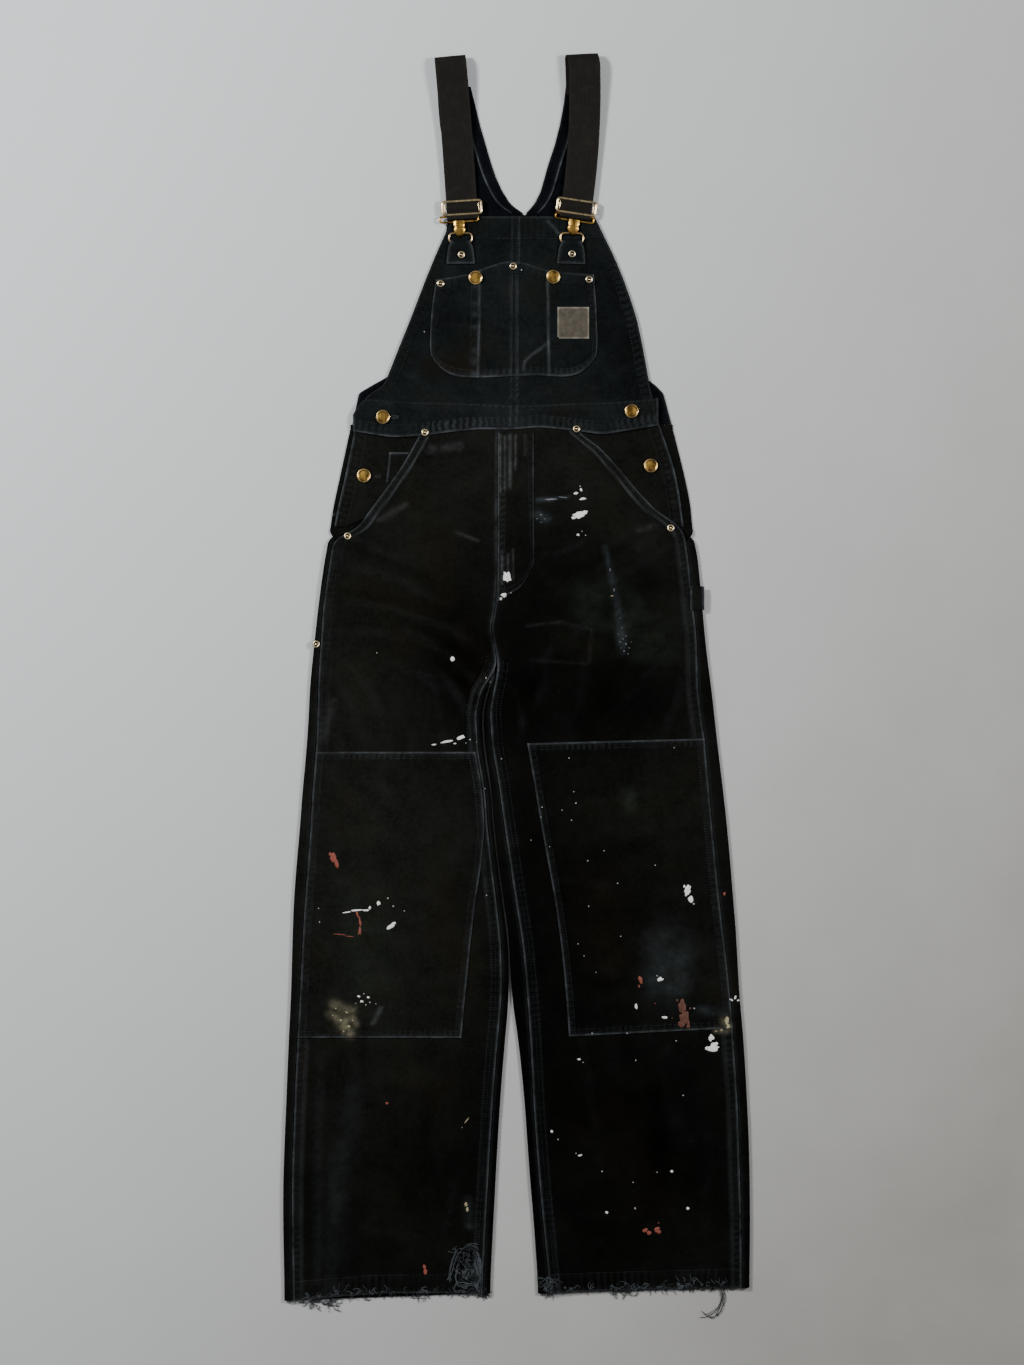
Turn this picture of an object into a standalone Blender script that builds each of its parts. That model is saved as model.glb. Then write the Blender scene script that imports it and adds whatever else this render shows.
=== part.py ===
"""Paint spattered bib dungarees, laid flat and face up with their straps above them.

Sizes are in millimetres. "across" runs to the wearer's left (+X) from a plumb line through
the middle, "up" runs from the hem to the straps (+Y) and starts at the lowest hem corner,
and "high" is the height over the surface that the garment lies on (+Z).
"""

import math

import bmesh
import bpy
import numpy as np

MM = 0.001
LENGTH = 1494.6
MID_UP = LENGTH / 2
CLOTH = 1.4
GAP = 0.3
SEAM_GAP = 1.0
SEAT_GAP = 0.5

# How high the lower face of a front piece lies over the surface below the garment.
FRONT_LOW = 2.0
HIP_LOW = 3.8
FOLD_LIFT = 2.6
HIP_LIFT = 0.4
LIFT_REACH = 30.0
BIB_LOW = 2.1
BAND_LOW = 5.9
BAND_CLOTH = 1.6
FACING_LOW = 2.0

CANVAS = ("black canvas", (0.012, 0.014, 0.015), 0.9, 0.0)
INSIDE = ("inner canvas", (0.016, 0.018, 0.022), 0.95, 0.0)
ELASTIC = ("brown elastic", (0.030, 0.026, 0.022), 0.85, 0.0)
BRASS = ("worn brass", (0.50, 0.36, 0.14), 0.35, 1.0)
LABEL = ("grey label", (0.10, 0.09, 0.07), 0.8, 0.0)


def table(columns, *rows):
    """A dictionary of arrays, one for each named column."""
    return dict(zip(columns.split(), np.array(rows, float).T))


def along(rows, column, key="up"):
    """A smooth curve through one column of a table, which never swings past its rows."""
    keys, values = rows[key], rows[column]
    slope = np.diff(values) / np.diff(keys)
    before, after = slope[:-1], slope[1:]
    same_way = before * after > 0
    total = np.where(same_way, before + after, 1.0)
    inner = np.where(same_way, 2 * before * after / total, 0.0)
    tangent = np.concatenate([slope[:1], inner, slope[-1:]])

    def value(at):
        at = min(max(at, keys[0]), keys[-1])
        i = min(int(np.searchsorted(keys, at, "right")) - 1, len(keys) - 2)
        run = keys[i + 1] - keys[i]
        t = (at - keys[i]) / run
        rise = values[i + 1] - values[i]
        ease = t * t * (3 - 2 * t)
        start = t * (1 - t) ** 2 * tangent[i]
        end = t * t * (t - 1) * tangent[i + 1]
        return float(values[i] + rise * ease + run * (start + end))

    return value


def ramp(at, low, high, first, last):
    """Goes evenly from first at low to last at high."""
    t = min(max((at - low) / (high - low), 0.0), 1.0)
    return first + (last - first) * t


# Each leg: the outer fold, the outseam, the inner edge of the double knee (and of the fly),
# the inseam, and the inner fold. Above the crotch the inseam and the fold are the centre seam.
RIGHT_LEG = table(
    "up fold seam panel inseam inner",
    (0, -278.0, -268.0, -72.0, -41.0, -32.4),
    (120, -280.0, -269.5, -70.0, -35.0, -26.4),
    (240, -276.0, -266.0, -68.0, -28.0, -19.6),
    (315, -273.0, -262.5, -66.0, -22.0, -13.6),
    (377, -270.0, -259.0, -60.0, -17.0, -8.8),
    (420, -269.0, -257.0, -56.0, -18.0, -9.8),
    (480, -267.0, -253.5, -49.0, -24.0, -16.8),
    (564, -260.0, -247.0, -38.0, -34.0, -27.8),
    (618, -256.0, -244.0, -41.5, -38.0, -31.8),
    (658, -252.0, -240.5, -49.0, -45.5, -39.2),
    (704, -249.0, -238.5, -56.0, -48.5, -42.0),
    (732, -248.0, -238.0, -56.0, -41.5, -35.2),
    (764, -245.0, -236.5, -56.0, -22.8, -22.8),
    (806, -240.5, -233.5, -60.0, -31.2, -31.2),
    (830, -238.0, -232.0, -60.0, -26.2, -26.2),
    (888, -230.0, -223.5, -60.0, -23.2, -23.2),
    (935, -223.0, -217.5, -60.0, -23.2, -23.2),
    (982, -213.0, -207.0, -60.0, -23.2, -23.2),
    (1058, -196.5, -191.5, -60.0, -23.2, -23.2),
)
LEFT_LEG = table(
    "up fold seam panel inseam inner",
    (0, 279.0, 270.0, 76.0, 41.0, 27.0),
    (96, 280.0, 269.5, 74.0, 31.5, 20.5),
    (160, 279.5, 267.5, 72.0, 25.5, 15.0),
    (228, 277.0, 265.5, 69.0, 20.5, 10.5),
    (315, 272.0, 260.0, 63.0, 16.0, 1.8),
    (377, 266.5, 255.0, 58.5, 11.5, -6.8),
    (430, 264.0, 249.0, 53.0, 6.5, -8.6),
    (480, 260.0, 243.0, 46.0, -1.5, -15.4),
    (564, 253.0, 235.0, 30.5, -14.0, -26.4),
    (618, 247.0, 230.0, 21.5, -21.5, -30.4),
    (658, 242.0, 227.0, 14.0, -29.0, -37.8),
    (704, 237.0, 221.5, 10.0, -32.5, -40.6),
    (732, 234.0, 217.5, 10.0, -27.5, -33.8),
    (764, 229.5, 217.0, 12.0, -22.2, -22.2),
    (806, 225.0, 215.0, 16.0, -30.6, -30.6),
    (830, 223.0, 212.0, 18.0, -25.6, -25.6),
    (888, 217.5, 206.0, 21.0, -22.6, -22.6),
    (935, 212.0, 199.5, 21.0, -22.6, -22.6),
    (982, 203.0, 193.0, 21.0, -22.6, -22.6),
    (1058, 184.0, 169.0, 21.0, -22.6, -22.6),
)
# How far each leg's rows stand above their own height, at the outseam and at the inseam, and
# the share of the way across that the rise takes.
RIGHT_RISE = table("up outer inner", (0, 0.0, 8.4), (95, 0.0, 0.0), (1058, 0.0, 0.0))
RIGHT_RISE_REACH = 0.4
LEFT_RISE = table(
    "up outer inner",
    (0, 15.6, 8.4),
    (140, 12.0, 2.0),
    (315, 11.5, -2.0),
    (475, 14.0, 4.0),
    (658, 16.0, 8.0),
    (764, 0.0, 0.0),
    (1058, 0.0, 0.0),
)
LEFT_RISE_REACH = 1.0
# The mouth of each hip pocket, from the outseam up to the waistband.
RIGHT_MOUTH = table(
    "up across",
    (908, -221.0),
    (914, -215.0),
    (920, -203.0),
    (928, -189.0),
    (948, -175.5),
    (970, -159.0),
    (998, -139.0),
    (1022, -125.0),
    (1058, -106.0),
)
LEFT_MOUTH = table(
    "up across",
    (920, 201.0),
    (928, 196.0),
    (948, 167.0),
    (970, 146.0),
    (998, 123.0),
    (1022, 101.0),
    (1040, 76.0),
    (1058, 68.0),
)
LEG_ROWS = [0, 29, 59, 95, 140, 185, 230, 273, 315, 352, 390, 430, 475, 520, 566, 612, 658, 704]
LEG_ROWS += [732, 750, 764, 785, 806, 830, 858, 881, 900, 908, 914, 920, 928, 948, 970, 998]
LEG_ROWS += [1022, 1040, 1058]
KNEE_ROWS = LEG_ROWS[LEG_ROWS.index(315) : LEG_ROWS.index(658) + 1]
BACK_TOP = 1050.0
WRAP_END = (905.0, 935.0)
CROTCH = (735.0, 764.0)

# Across a front leg: even steps to the panel line, then steps to the inseam.
PANEL_STEPS = 8
INNER_STEPS = 3
# The worn-through hole above the right hem: the cell of the grid that it takes, the highest
# row that bends for it, and the lines of its two sides.
HOLE = {"column": 8, "row": 1, "last_row": 59, "outer": -70.0, "inner": -53.0}

# A side of the back leg, round its fold: the share of the way from the seam to the fold, the
# height there, and how far in from the edge the point lies where the side isn't folded.
WRAP = table(
    "out high flat_in",
    (0.00, 6.5, 0.0),
    (0.42, 7.0, 3.0),
    (0.84, 5.7, 6.0),
    (1.00, 3.4, 9.0),
    (0.84, 1.0, 12.0),
    (0.40, 0.0, 15.0),
)

# Soft folds in the fronts: their middle, length, lean from upright, half width and height.
FOLDS = table(
    "across up length lean wide high",
    (-150, 905, 170, 68, 18, 2.4),
    (-135, 850, 190, 76, 20, -1.2),
    (-120, 805, 200, 80, 22, 2.2),
    (-95, 745, 150, 62, 20, 1.8),
    (-170, 705, 140, 40, 22, 1.4),
    (-60, 690, 120, -30, 20, 2.4),
    (-190, 580, 160, 8, 26, 1.6),
    (-110, 520, 150, -14, 30, 1.4),
    (-200, 380, 190, 4, 30, 1.6),
    (-90, 250, 220, -6, 30, 1.5),
    (-190, 150, 190, 3, 28, 1.4),
    (110, 880, 160, -66, 20, 2.4),
    (95, 815, 180, -74, 20, 1.4),
    (120, 760, 150, -58, 22, 2.0),
    (40, 705, 130, 24, 22, 2.4),
    (170, 690, 150, -28, 24, 1.6),
    (90, 540, 170, 12, 28, 1.6),
    (190, 470, 180, -6, 26, 1.5),
    (110, 330, 190, 6, 28, 1.5),
    (200, 220, 190, -3, 28, 1.5),
    (90, 120, 170, 5, 26, 1.4),
)


def folds(across, up):
    """The height that the soft folds add at a point of the fronts."""
    x, y = across - FOLDS["across"], up - FOLDS["up"]
    lean = np.radians(FOLDS["lean"])
    on_fold = y * np.cos(lean) - x * np.sin(lean)
    off_fold = x * np.cos(lean) + y * np.sin(lean)
    reach = np.clip(1 - (2 * on_fold / FOLDS["length"]) ** 2, 0, 1)
    shape = FOLDS["high"] * reach * np.exp(-((off_fold / FOLDS["wide"]) ** 2))
    return float(np.clip(shape.sum(), -0.2, 2.6))


class Leg:
    """One leg with the half of the body above it: where its edges run and how high it lies."""

    def __init__(self, side, rows, mouth, rise, rise_reach):
        self.side = side
        self.rise_outer = along(rise, "outer")
        self.rise_inner = along(rise, "inner")
        self.rise_reach = rise_reach
        self.fold = along(rows, "fold")
        self.seam = along(rows, "seam")
        self.panel = along(rows, "panel")
        self.inseam = along(rows, "inseam")
        self.inner = along(rows, "inner")
        self.mouth = along(mouth, "across")
        self.mouth_low = mouth["up"][0]

    def up(self, share, row):
        """How far up a row's point lies, by its share of the way from outseam to inseam."""
        outer, inner = self.rise_outer(row), self.rise_inner(row)
        return row + outer + (inner - outer) * min(share / self.rise_reach, 1.0)

    def front_edge(self, up):
        return self.mouth(up) if up >= self.mouth_low else self.seam(up)

    def low(self, across, up):
        """The height of the front leg's lower face."""
        flat = ramp(up, 840, 905, FRONT_LOW, HIP_LOW)
        outer = ramp(up, 870, 905, FOLD_LIFT, HIP_LIFT)
        inner = ramp(up, 735, 790, FOLD_LIFT, HIP_LIFT)
        outer *= math.exp(-abs(across - self.front_edge(up)) / LIFT_REACH)
        inner *= math.exp(-abs(across - self.inseam(up)) / LIFT_REACH)
        rise = ramp(up, 905, 960, 1.0, 0.3)
        return flat + max(outer, inner) + rise * folds(across, up)

    def across(self, column, up):
        """Where a column of the front leg's points runs."""
        edge, panel = self.front_edge(up), self.panel(up)
        if column <= PANEL_STEPS:
            return edge + (panel - edge) * column / PANEL_STEPS
        return panel + (self.inseam(up) - panel) * (column - PANEL_STEPS) / INNER_STEPS


RIGHT = Leg(-1, RIGHT_LEG, RIGHT_MOUTH, RIGHT_RISE, RIGHT_RISE_REACH)
LEFT = Leg(1, LEFT_LEG, LEFT_MOUTH, LEFT_RISE, LEFT_RISE_REACH)
LEGS = (("r", RIGHT), ("l", LEFT))

# The bib: its side edges and the side edges of its pocket, which run on up to its top.
BIB = table(
    "up right pocket_right pocket_left left",
    (1062, -188.0, -112.0, 104.0, 168.0),
    (1080, -184.0, -110.0, 102.0, 164.0),
    (1088, -176.0, -108.0, 100.0, 162.0),
    (1096, -160.0, -106.0, 99.0, 160.0),
    (1112, -153.0, -105.0, 98.0, 157.0),
    (1140, -142.0, -104.0, 97.5, 152.0),
    (1176, -127.5, -103.0, 96.5, 144.5),
    (1206, -116.0, -100.0, 95.0, 135.0),
    (1228, -107.5, -96.5, 93.0, 127.0),
    (1256, -96.0, -80.0, 82.0, 115.0),
    (1278, -86.0, -68.0, 74.0, 104.0),
    (1294, -79.0, -62.0, 70.0, 96.5),
    (1300, -74.0, -60.0, 68.0, 93.0),
)
POCKET_TOP_ROW = 1228.0
POCKET_FOOT_ROW = 1112.0
POCKET_TOP = table(
    "across up",
    (-97, 1224.0),
    (-56, 1231.0),
    (-38, 1238.0),
    (-17, 1246.0),
    (-4, 1247.0),
    (16, 1243.0),
    (37, 1235.0),
    (93, 1230.0),
)
POCKET_FOOT = table(
    "across up",
    (-105, 1132.0),
    (-84, 1109.0),
    (-60, 1106.0),
    (36, 1109.5),
    (60, 1106.0),
    (80, 1110.0),
    (98, 1132.0),
)
POCKET_STEPS = 9
BIB_FOLDS = table(
    "across up wide tall high",
    (-60, 1150, 26, 60, 1.2),
    (20, 1190, 24, 70, 0.9),
    (70, 1120, 30, 50, 1.1),
    (-120, 1120, 22, 50, 0.9),
    (120, 1150, 22, 60, 0.9),
    (0, 1275, 30, 24, 0.4),
)


def bib_low(across, up):
    """The height of the bib's lower face."""
    x = (across - BIB_FOLDS["across"]) / BIB_FOLDS["wide"]
    y = (up - BIB_FOLDS["up"]) / BIB_FOLDS["tall"]
    waves = (BIB_FOLDS["high"] * np.exp(-x * x - y * y)).sum()
    return ramp(up, 1062, 1120, HIP_LOW, BIB_LOW) + ramp(up, 1062, 1100, 0.0, 1.0) * float(waves)


def bib_across(column, up):
    """The bib's columns: one outside the pocket on each side, the rest over the pocket."""
    edges = [along(BIB, name)(up) for name in ("right", "pocket_right", "pocket_left", "left")]
    if column == 0:
        return edges[0]
    if column > POCKET_STEPS + 1:
        return edges[3]
    return edges[1] + (edges[2] - edges[1]) * (column - 1) / POCKET_STEPS


def bib_up(column, row):
    """The two rows along the pocket's top and foot bend with them."""
    across = bib_across(column, row)
    if not 1 <= column <= POCKET_STEPS + 1:
        return row
    if row == POCKET_TOP_ROW:
        return along(POCKET_TOP, "up", "across")(across)
    if row == POCKET_FOOT_ROW:
        return along(POCKET_FOOT, "up", "across")(across)
    return row


# The waistband: its lower and upper edges.
BAND = table(
    "across low high",
    (-196, 1042.0, 1062.0),
    (-184, 1040.0, 1082.0),
    (-149, 1034.5, 1078.5),
    (-110, 1037.0, 1077.0),
    (-80, 1041.0, 1076.5),
    (-45, 1044.5, 1075.0),
    (-8, 1044.0, 1073.0),
    (29, 1047.0, 1074.0),
    (71, 1042.5, 1076.0),
    (103, 1038.0, 1077.0),
    (140, 1044.0, 1079.0),
    (170, 1049.0, 1082.0),
)

# The high back: its outer edges and the edges of the neck, which meet at the foot of the V.
BACK = table(
    "up right neck_right neck_left left",
    (1050.4, -197.0, 8.0, 8.0, 186.0),
    (1088, -189.0, 9.0, 9.0, 176.0),
    (1098, -172.0, 9.0, 9.0, 166.0),
    (1112, -147.0, 9.5, 9.5, 148.0),
    (1152, -125.0, 10.0, 10.0, 140.0),
    (1200, -104.0, 10.0, 10.0, 127.0),
    (1260, -87.5, 10.0, 10.0, 103.0),
    (1301, -82.0, 10.0, 10.0, 90.0),
    (1314, -82.5, -7.0, 21.0, 90.5),
    (1330, -83.0, -17.0, 29.0, 92.0),
    (1346, -84.0, -24.5, 33.5, 93.0),
    (1362, -85.5, -30.0, 38.0, 94.0),
    (1386, -88.0, -37.0, 46.0, 96.0),
    (1410, -92.0, -44.0, 52.0, 98.0),
    (1434, -94.0, -49.5, 56.5, 99.5),
    (1456, -95.0, -55.0, 59.0, 100.0),
)
NECK_FOOT = 1301.0
BACK_STEPS = 5
FACING_WIDTH = 15.0
FACING_ROWS = (1304.0, 1314.0, 1330.0, 1346.0, 1362.0, 1386.0, 1410.0)

# The elastic strap, seen from its side: the distance up from the slide and the height of its
# middle. It starts at the hook, comes back over the slide, and ends sewn on the cloth strap.
STRAP_WIDTH = 37.0
STRAP_CLOTH = 1.4
STRAP = table(
    "up high shift",
    (34.0, 4.6, 0.0),
    (8.0, 4.6, 0.0),
    (-11.2, 4.6, 0.0),
    (-13.0, 5.1, 0.0),
    (-13.7, 6.7, 0.0),
    (-13.0, 8.2, 0.0),
    (-11.2, 8.7, 0.0),
    (-9.8, 8.1, 0.0),
    (-8.3, 6.7, 0.0),
    (-6.6, 6.7, 0.0),
    (-0.9, 10.5, 0.0),
    (0.9, 10.5, 0.0),
    (6.6, 6.7, 0.0),
    (8.6, 6.6, 0.0),
    (24.0, 6.4, 0.0),
    (52.0, 6.6, 0.0),
    (84.0, 8.0, 0.0),
    (114.0, 10.4, 0.0),
    (140.0, 13.2, 0.0),
    (158.0, 15.4, 0.0),
    (169.1, 16.0, 0.0),
    (176.1, 15.2, 1.0),
    (180.1, 12.8, 2.0),
    (181.1, 9.6, 3.0),
    (178.1, 6.4, 4.0),
    (170.1, 4.0, 4.0),
    (156.0, 2.7, 4.0),
    (134.0, 2.5, 4.0),
)
STRAP_REACH = 181.1
# The buckle sets: the slide's middle, its turn in degrees, how far the strap's top bows to the
# side, the share of the strap's shift, and where the hook and the ring with its tab hang.
BUCKLES = table(
    "side across up turn bow shift hook_across hook_turn ring_across ring_turn",
    (-1, -65.5, 1311.5, 3.5, 2.7, 0.15, -67.5, 3.5, -66.2, 0.5),
    (1, 72.0, 1311.5, -8.5, 16.0, 1.0, 72.0, -8.5, 67.2, -1.5),
)
PLATE = 1.8
SLIDE_HIGH = 7.7
HOOK_HIGH = 5.8
SLIDE_COLUMNS = (-24.5, -21.5, 21.5, 24.5)
SLIDE_BARS = (-8.5, -6.7, -0.9, 0.9, 6.7, 8.5)
HOOK_COLUMNS = (-24.0, -21.2, -7.0, 7.0, 21.2, 24.0)
# The hook plate's rows: the distance up from the slide, and the height of its lower face.
HOOK_ROWS = table(
    "up high",
    (-10.6, HOOK_HIGH),
    (-12.6, HOOK_HIGH),
    (-15.8, HOOK_HIGH),
    (-18.2, HOOK_HIGH),
    (-24.0, 7.2),
    (-29.0, 8.0),
    (-35.2, 8.0),
    (-37.2, 7.2),
    (-37.8, 5.2),
)
# The ring that the hook holds, and the cloth tab round the ring's lower side.
RING_COLUMNS = (-15.0, -12.8, 12.8, 15.0)
RING_ROWS = (-46.0, -43.8, -34.6, -32.4)
RING_HIGH = 5.8
TAB_CLOTH = 1.2
TAB = table(
    "up high width",
    (-52.0, 4.8, 24.0),
    (-44.9, 4.8, 24.0),
    (-42.9, 5.3, 24.0),
    (-42.3, 6.7, 24.0),
    (-42.9, 8.1, 24.0),
    (-44.9, 8.6, 24.0),
    (-50.0, 7.8, 28.5),
    (-56.0, 6.6, 31.0),
    (-70.0, 6.3, 34.0),
)

BUTTON = table(
    "out high",
    (8.5, 0.0),
    (8.5, 1.6),
    (7.4, 2.8),
    (6.2, 2.8),
    (5.3, 2.0),
)
BUTTON_SIDES = 16
RIVET_SIDES = 12
RIVET_RADIUS = 4.6
RIVET_HEIGHT = 1.4


def finish(name, mesh, material, thickness=0.0, grows=1.0, bevel=0.0):
    """Makes a mesh in millimetres a named object, with its wall and its rounded edges."""
    bmesh.ops.scale(mesh, vec=(MM, MM, MM), verts=mesh.verts)
    data = bpy.data.meshes.new(name)
    mesh.to_mesh(data)
    mesh.free()
    data.materials.append(materials[material[0]])
    data.shade_smooth()
    data.set_sharp_from_angle(angle=math.radians(40))
    piece = bpy.data.objects.new(name, data)
    bpy.context.scene.collection.objects.link(piece)
    if thickness:
        wall = piece.modifiers.new("wall", "SOLIDIFY")
        wall.thickness = thickness * MM
        wall.offset = grows
    if bevel:
        edges = piece.modifiers.new("edges", "BEVEL")
        edges.width = bevel * MM
        edges.segments = 1
        edges.limit_method = "ANGLE"
    return piece


def sheet(columns, rows, place, faces_up=True, missing=()):
    """A grid of points, each put in its place by its column and its row."""
    mesh = bmesh.new()
    across, ups = len(columns) - 1, len(rows) - 1
    bmesh.ops.create_grid(mesh, x_segments=across, y_segments=ups, size=1.0)
    lost = []
    for face in mesh.faces:
        middle = face.calc_center_median()
        cell = (int((middle.x + 1) / 2 * across), int((middle.y + 1) / 2 * ups))
        if cell in missing:
            lost.append(face)
    for vertex in mesh.verts:
        i = round((vertex.co.x + 1) / 2 * across)
        j = round((vertex.co.y + 1) / 2 * ups)
        vertex.co = place(columns[i], rows[j])
    bmesh.ops.delete(mesh, geom=lost, context="FACES")
    if not faces_up:
        bmesh.ops.reverse_faces(mesh, faces=mesh.faces)
    return mesh


def point(across, up, high):
    return (across, up - MID_UP, high)


def back_leg(name, leg):
    """The back of a leg: flat below, folded round both sides up to the seams."""
    sides = len(WRAP["out"])
    stations = list(range(2 * sides + 1))

    def place(station, up):
        row = leg.up(station / (2 * sides), min(up, BACK_TOP))
        if station == sides:
            return point((leg.fold(row) + leg.inner(row)) / 2, row, 0.0)
        outer = station < sides
        i = station if outer else 2 * sides - station
        seam, fold = (leg.seam, leg.fold) if outer else (leg.inseam, leg.inner)
        seam, fold = seam(row), fold(row)
        way = leg.side if outer else -leg.side
        folded = ramp(row, *WRAP_END, 1.0, 0.0) if outer else ramp(row, *CROTCH, 1.0, 0.0)
        clear = way * SEAM_GAP
        wrapped = seam + clear + (fold - seam - clear) * WRAP["out"][i]
        flat = fold - way * WRAP["flat_in"][i]
        across = flat + (wrapped - flat) * folded
        return point(across, row, WRAP["high"][i] * folded**2)

    mesh = sheet(stations, LEG_ROWS, place, faces_up=leg.side > 0)
    return finish(name, mesh, CANVAS, CLOTH, grows=-1.0)


def leg_column_place(leg, lift=0.0):
    def place(column, row):
        up = leg.up(column / (PANEL_STEPS + INNER_STEPS), row)
        across = leg.across(column, up)
        return point(across, up, leg.low(across, up) + lift)

    return place


def front_leg(name, leg, hole):
    columns = list(range(PANEL_STEPS + INNER_STEPS + 1))
    missing = {(hole["column"], hole["row"])} if hole else ()
    place = leg_column_place(leg)

    def place_with_hole(column, row):
        """The two columns beside the hole run along its sides."""
        if hole and 0 < row <= hole["last_row"] and column - hole["column"] in (0, 1):
            across = hole["outer"] if column == hole["column"] else hole["inner"]
            return point(across, row, leg.low(across, row))
        return place(column, row)

    mesh = sheet(columns, LEG_ROWS, place_with_hole, leg.side < 0, missing)
    return finish(name, mesh, CANVAS, CLOTH)


def knee_panel(name, leg):
    columns = list(range(PANEL_STEPS + 1))
    place = leg_column_place(leg, CLOTH + GAP)
    mesh = sheet(columns, KNEE_ROWS, place, leg.side < 0)
    return finish(name, mesh, CANVAS, CLOTH)


FLY_FOOT = table("across up", (-22.6, 838.0), (-11.0, 846.0), (9.0, 857.0), (21.0, 884.0))
FLY_TOP = 1040.0


def fly():
    """The fly's outer layer, sewn on the left front along its J."""
    columns = range(PANEL_STEPS, PANEL_STEPS + INNER_STEPS + 1)
    rows = [up for up in LEG_ROWS if 881 <= up <= FLY_TOP]
    foot = along(FLY_FOOT, "up", "across")

    def place(column, up):
        across = LEFT.across(column, up)
        if up == rows[0]:
            up = foot(across)
        return point(across, up, LEFT.low(across, up) + CLOTH + SEAT_GAP)

    return finish("fly", sheet(list(columns), rows, place, False), CANVAS, 1.2)


def hip_facing(name, leg):
    """The cloth behind a hip pocket's mouth, which runs out to the side opening."""
    rows = [up for up in LEG_ROWS if up >= 928]
    reach = 14.0

    def place(column, up):
        outer, inner = leg.seam(up), leg.mouth(up) - leg.side * reach
        if up == rows[0]:
            inner = outer - leg.side * reach
        return point(outer + (inner - outer) * column / 4, up, FACING_LOW)

    mesh = sheet(list(range(5)), rows, place, leg.side < 0)
    return finish(name, mesh, CANVAS, CLOTH)


COIN_POCKET = table("up outer", (981, -156.5), (998, -154.5), (1017, -152.5))


def coin_pocket():
    """The corner of the coin pocket that shows in the right hip pocket's mouth."""

    def place(column, up):
        outer = along(COIN_POCKET, "outer")(up)
        inner = RIGHT.mouth(up) - SEAT_GAP - 0.6
        across = outer + (inner - outer) * column
        return point(across, up, FACING_LOW + CLOTH + GAP)

    return finish("coin_pocket", sheet([0, 1], list(COIN_POCKET["up"]), place), CANVAS, 1.0)


def bib_front():
    def place(column, up):
        across, up = bib_across(column, up), bib_up(column, up)
        return point(across, up, bib_low(across, up))

    columns = list(range(POCKET_STEPS + 3))
    return finish("bib_front", sheet(columns, list(BIB["up"]), place), CANVAS, CLOTH)


def bib_pocket():
    rows = [up for up in BIB["up"] if POCKET_FOOT_ROW <= up <= POCKET_TOP_ROW]

    def place(column, up):
        across, up = bib_across(column, up), bib_up(column, up)
        return point(across, up, bib_low(across, up) + CLOTH + GAP)

    columns = list(range(1, POCKET_STEPS + 2))
    return finish("bib_pocket", sheet(columns, rows, place), CANVAS, CLOTH)


def waistband():
    low, high = along(BAND, "low", "across"), along(BAND, "high", "across")

    def place(across, share):
        up = low(across) + (high(across) - low(across)) * share
        return point(across, up, BAND_LOW + 0.4 * math.sin(math.pi * share))

    return finish("waistband", sheet(list(BAND["across"]), [0, 0.5, 1], place), CANVAS, BAND_CLOTH)


def back_body():
    """The high back with the cloth straps: two halves, joined below the foot of the V."""
    halves = []
    for outer, neck in (("right", "neck_right"), ("left", "neck_left")):
        outer_edge, neck_edge = along(BACK, outer), along(BACK, neck)

        def place(column, up, outer_edge=outer_edge, neck_edge=neck_edge):
            share = column / BACK_STEPS
            return point(outer_edge(up) + (neck_edge(up) - outer_edge(up)) * share, up, 0.0)

        halves.append(sheet(list(range(BACK_STEPS + 1)), list(BACK["up"]), place, outer == "right"))
    whole = halves[0]
    second = bpy.data.meshes.new("second half")
    halves[1].to_mesh(second)
    halves[1].free()
    whole.from_mesh(second)
    bpy.data.meshes.remove(second)
    bmesh.ops.remove_doubles(whole, verts=whole.verts, dist=0.01)
    return finish("back_body", whole, INSIDE, CLOTH)


def neck_facing(name, side, column):
    """The strip sewn inside the neck, which shows in the V."""
    edge = along(BACK, column)

    def place(share, up):
        return point(edge(up) + side * (0.4 + FACING_WIDTH * share), up, CLOTH + GAP)

    mesh = sheet([0, 0.5, 1], list(FACING_ROWS), place, side > 0)
    return finish(name, mesh, INSIDE, 1.0)


def set_down(piece, buckle, part=""):
    """Puts a piece of a buckle set, made about the slide's middle, in its place."""
    across, turn = BUCKLES[part + "across"][buckle], BUCKLES[part + "turn"][buckle]
    piece.location = (across * MM, (BUCKLES["up"][buckle] - MID_UP) * MM, 0.0)
    piece.rotation_euler = (0.0, 0.0, math.radians(turn))
    return piece


def elastic_strap(name, buckle):
    bow, share = BUCKLES["bow"][buckle], BUCKLES["shift"][buckle]
    # Across the strap, the ribbon keeps its width as it leans.
    rows = list(range(len(STRAP["up"])))

    def place(column, row):
        up, high = STRAP["up"][row], STRAP["high"][row]
        reach = max(up, 0.0) / STRAP_REACH
        lean = 2 * bow * reach / STRAP_REACH
        middle = bow * reach**2 + share * STRAP["shift"][row]
        across = STRAP_WIDTH * column
        # The top of a bowed strap stands square to its own run.
        return (-middle + across, up + lean * across, high)

    mesh = sheet([-0.5, 0.0, 0.5], rows, place)
    return set_down(finish(name, mesh, ELASTIC, STRAP_CLOTH, grows=0.0), buckle)


def stamping(name, columns, rows, keep, buckle, high, part=""):
    """A brass plate with windows, about the slide's middle."""
    missing = set()
    for i in range(len(columns) - 1):
        for j in range(len(rows) - 1):
            if not keep(i, j):
                missing.add((i, j))
    falling = rows[0] > rows[-1]
    levels = dict(zip(rows, high))
    mesh = sheet(list(columns), list(rows), lambda x, y: (x, y, levels[y]), not falling, missing)
    bmesh.ops.delete(mesh, geom=[v for v in mesh.verts if not v.link_faces], context="VERTS")
    return set_down(finish(name, mesh, BRASS, PLATE, bevel=0.35), buckle, part)


def slide_adjuster(name, buckle):
    level = [SLIDE_HIGH] * len(SLIDE_BARS)
    return stamping(
        name, SLIDE_COLUMNS, SLIDE_BARS, lambda i, j: i != 1 or j in (0, 2, 4), buckle, level
    )


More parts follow.
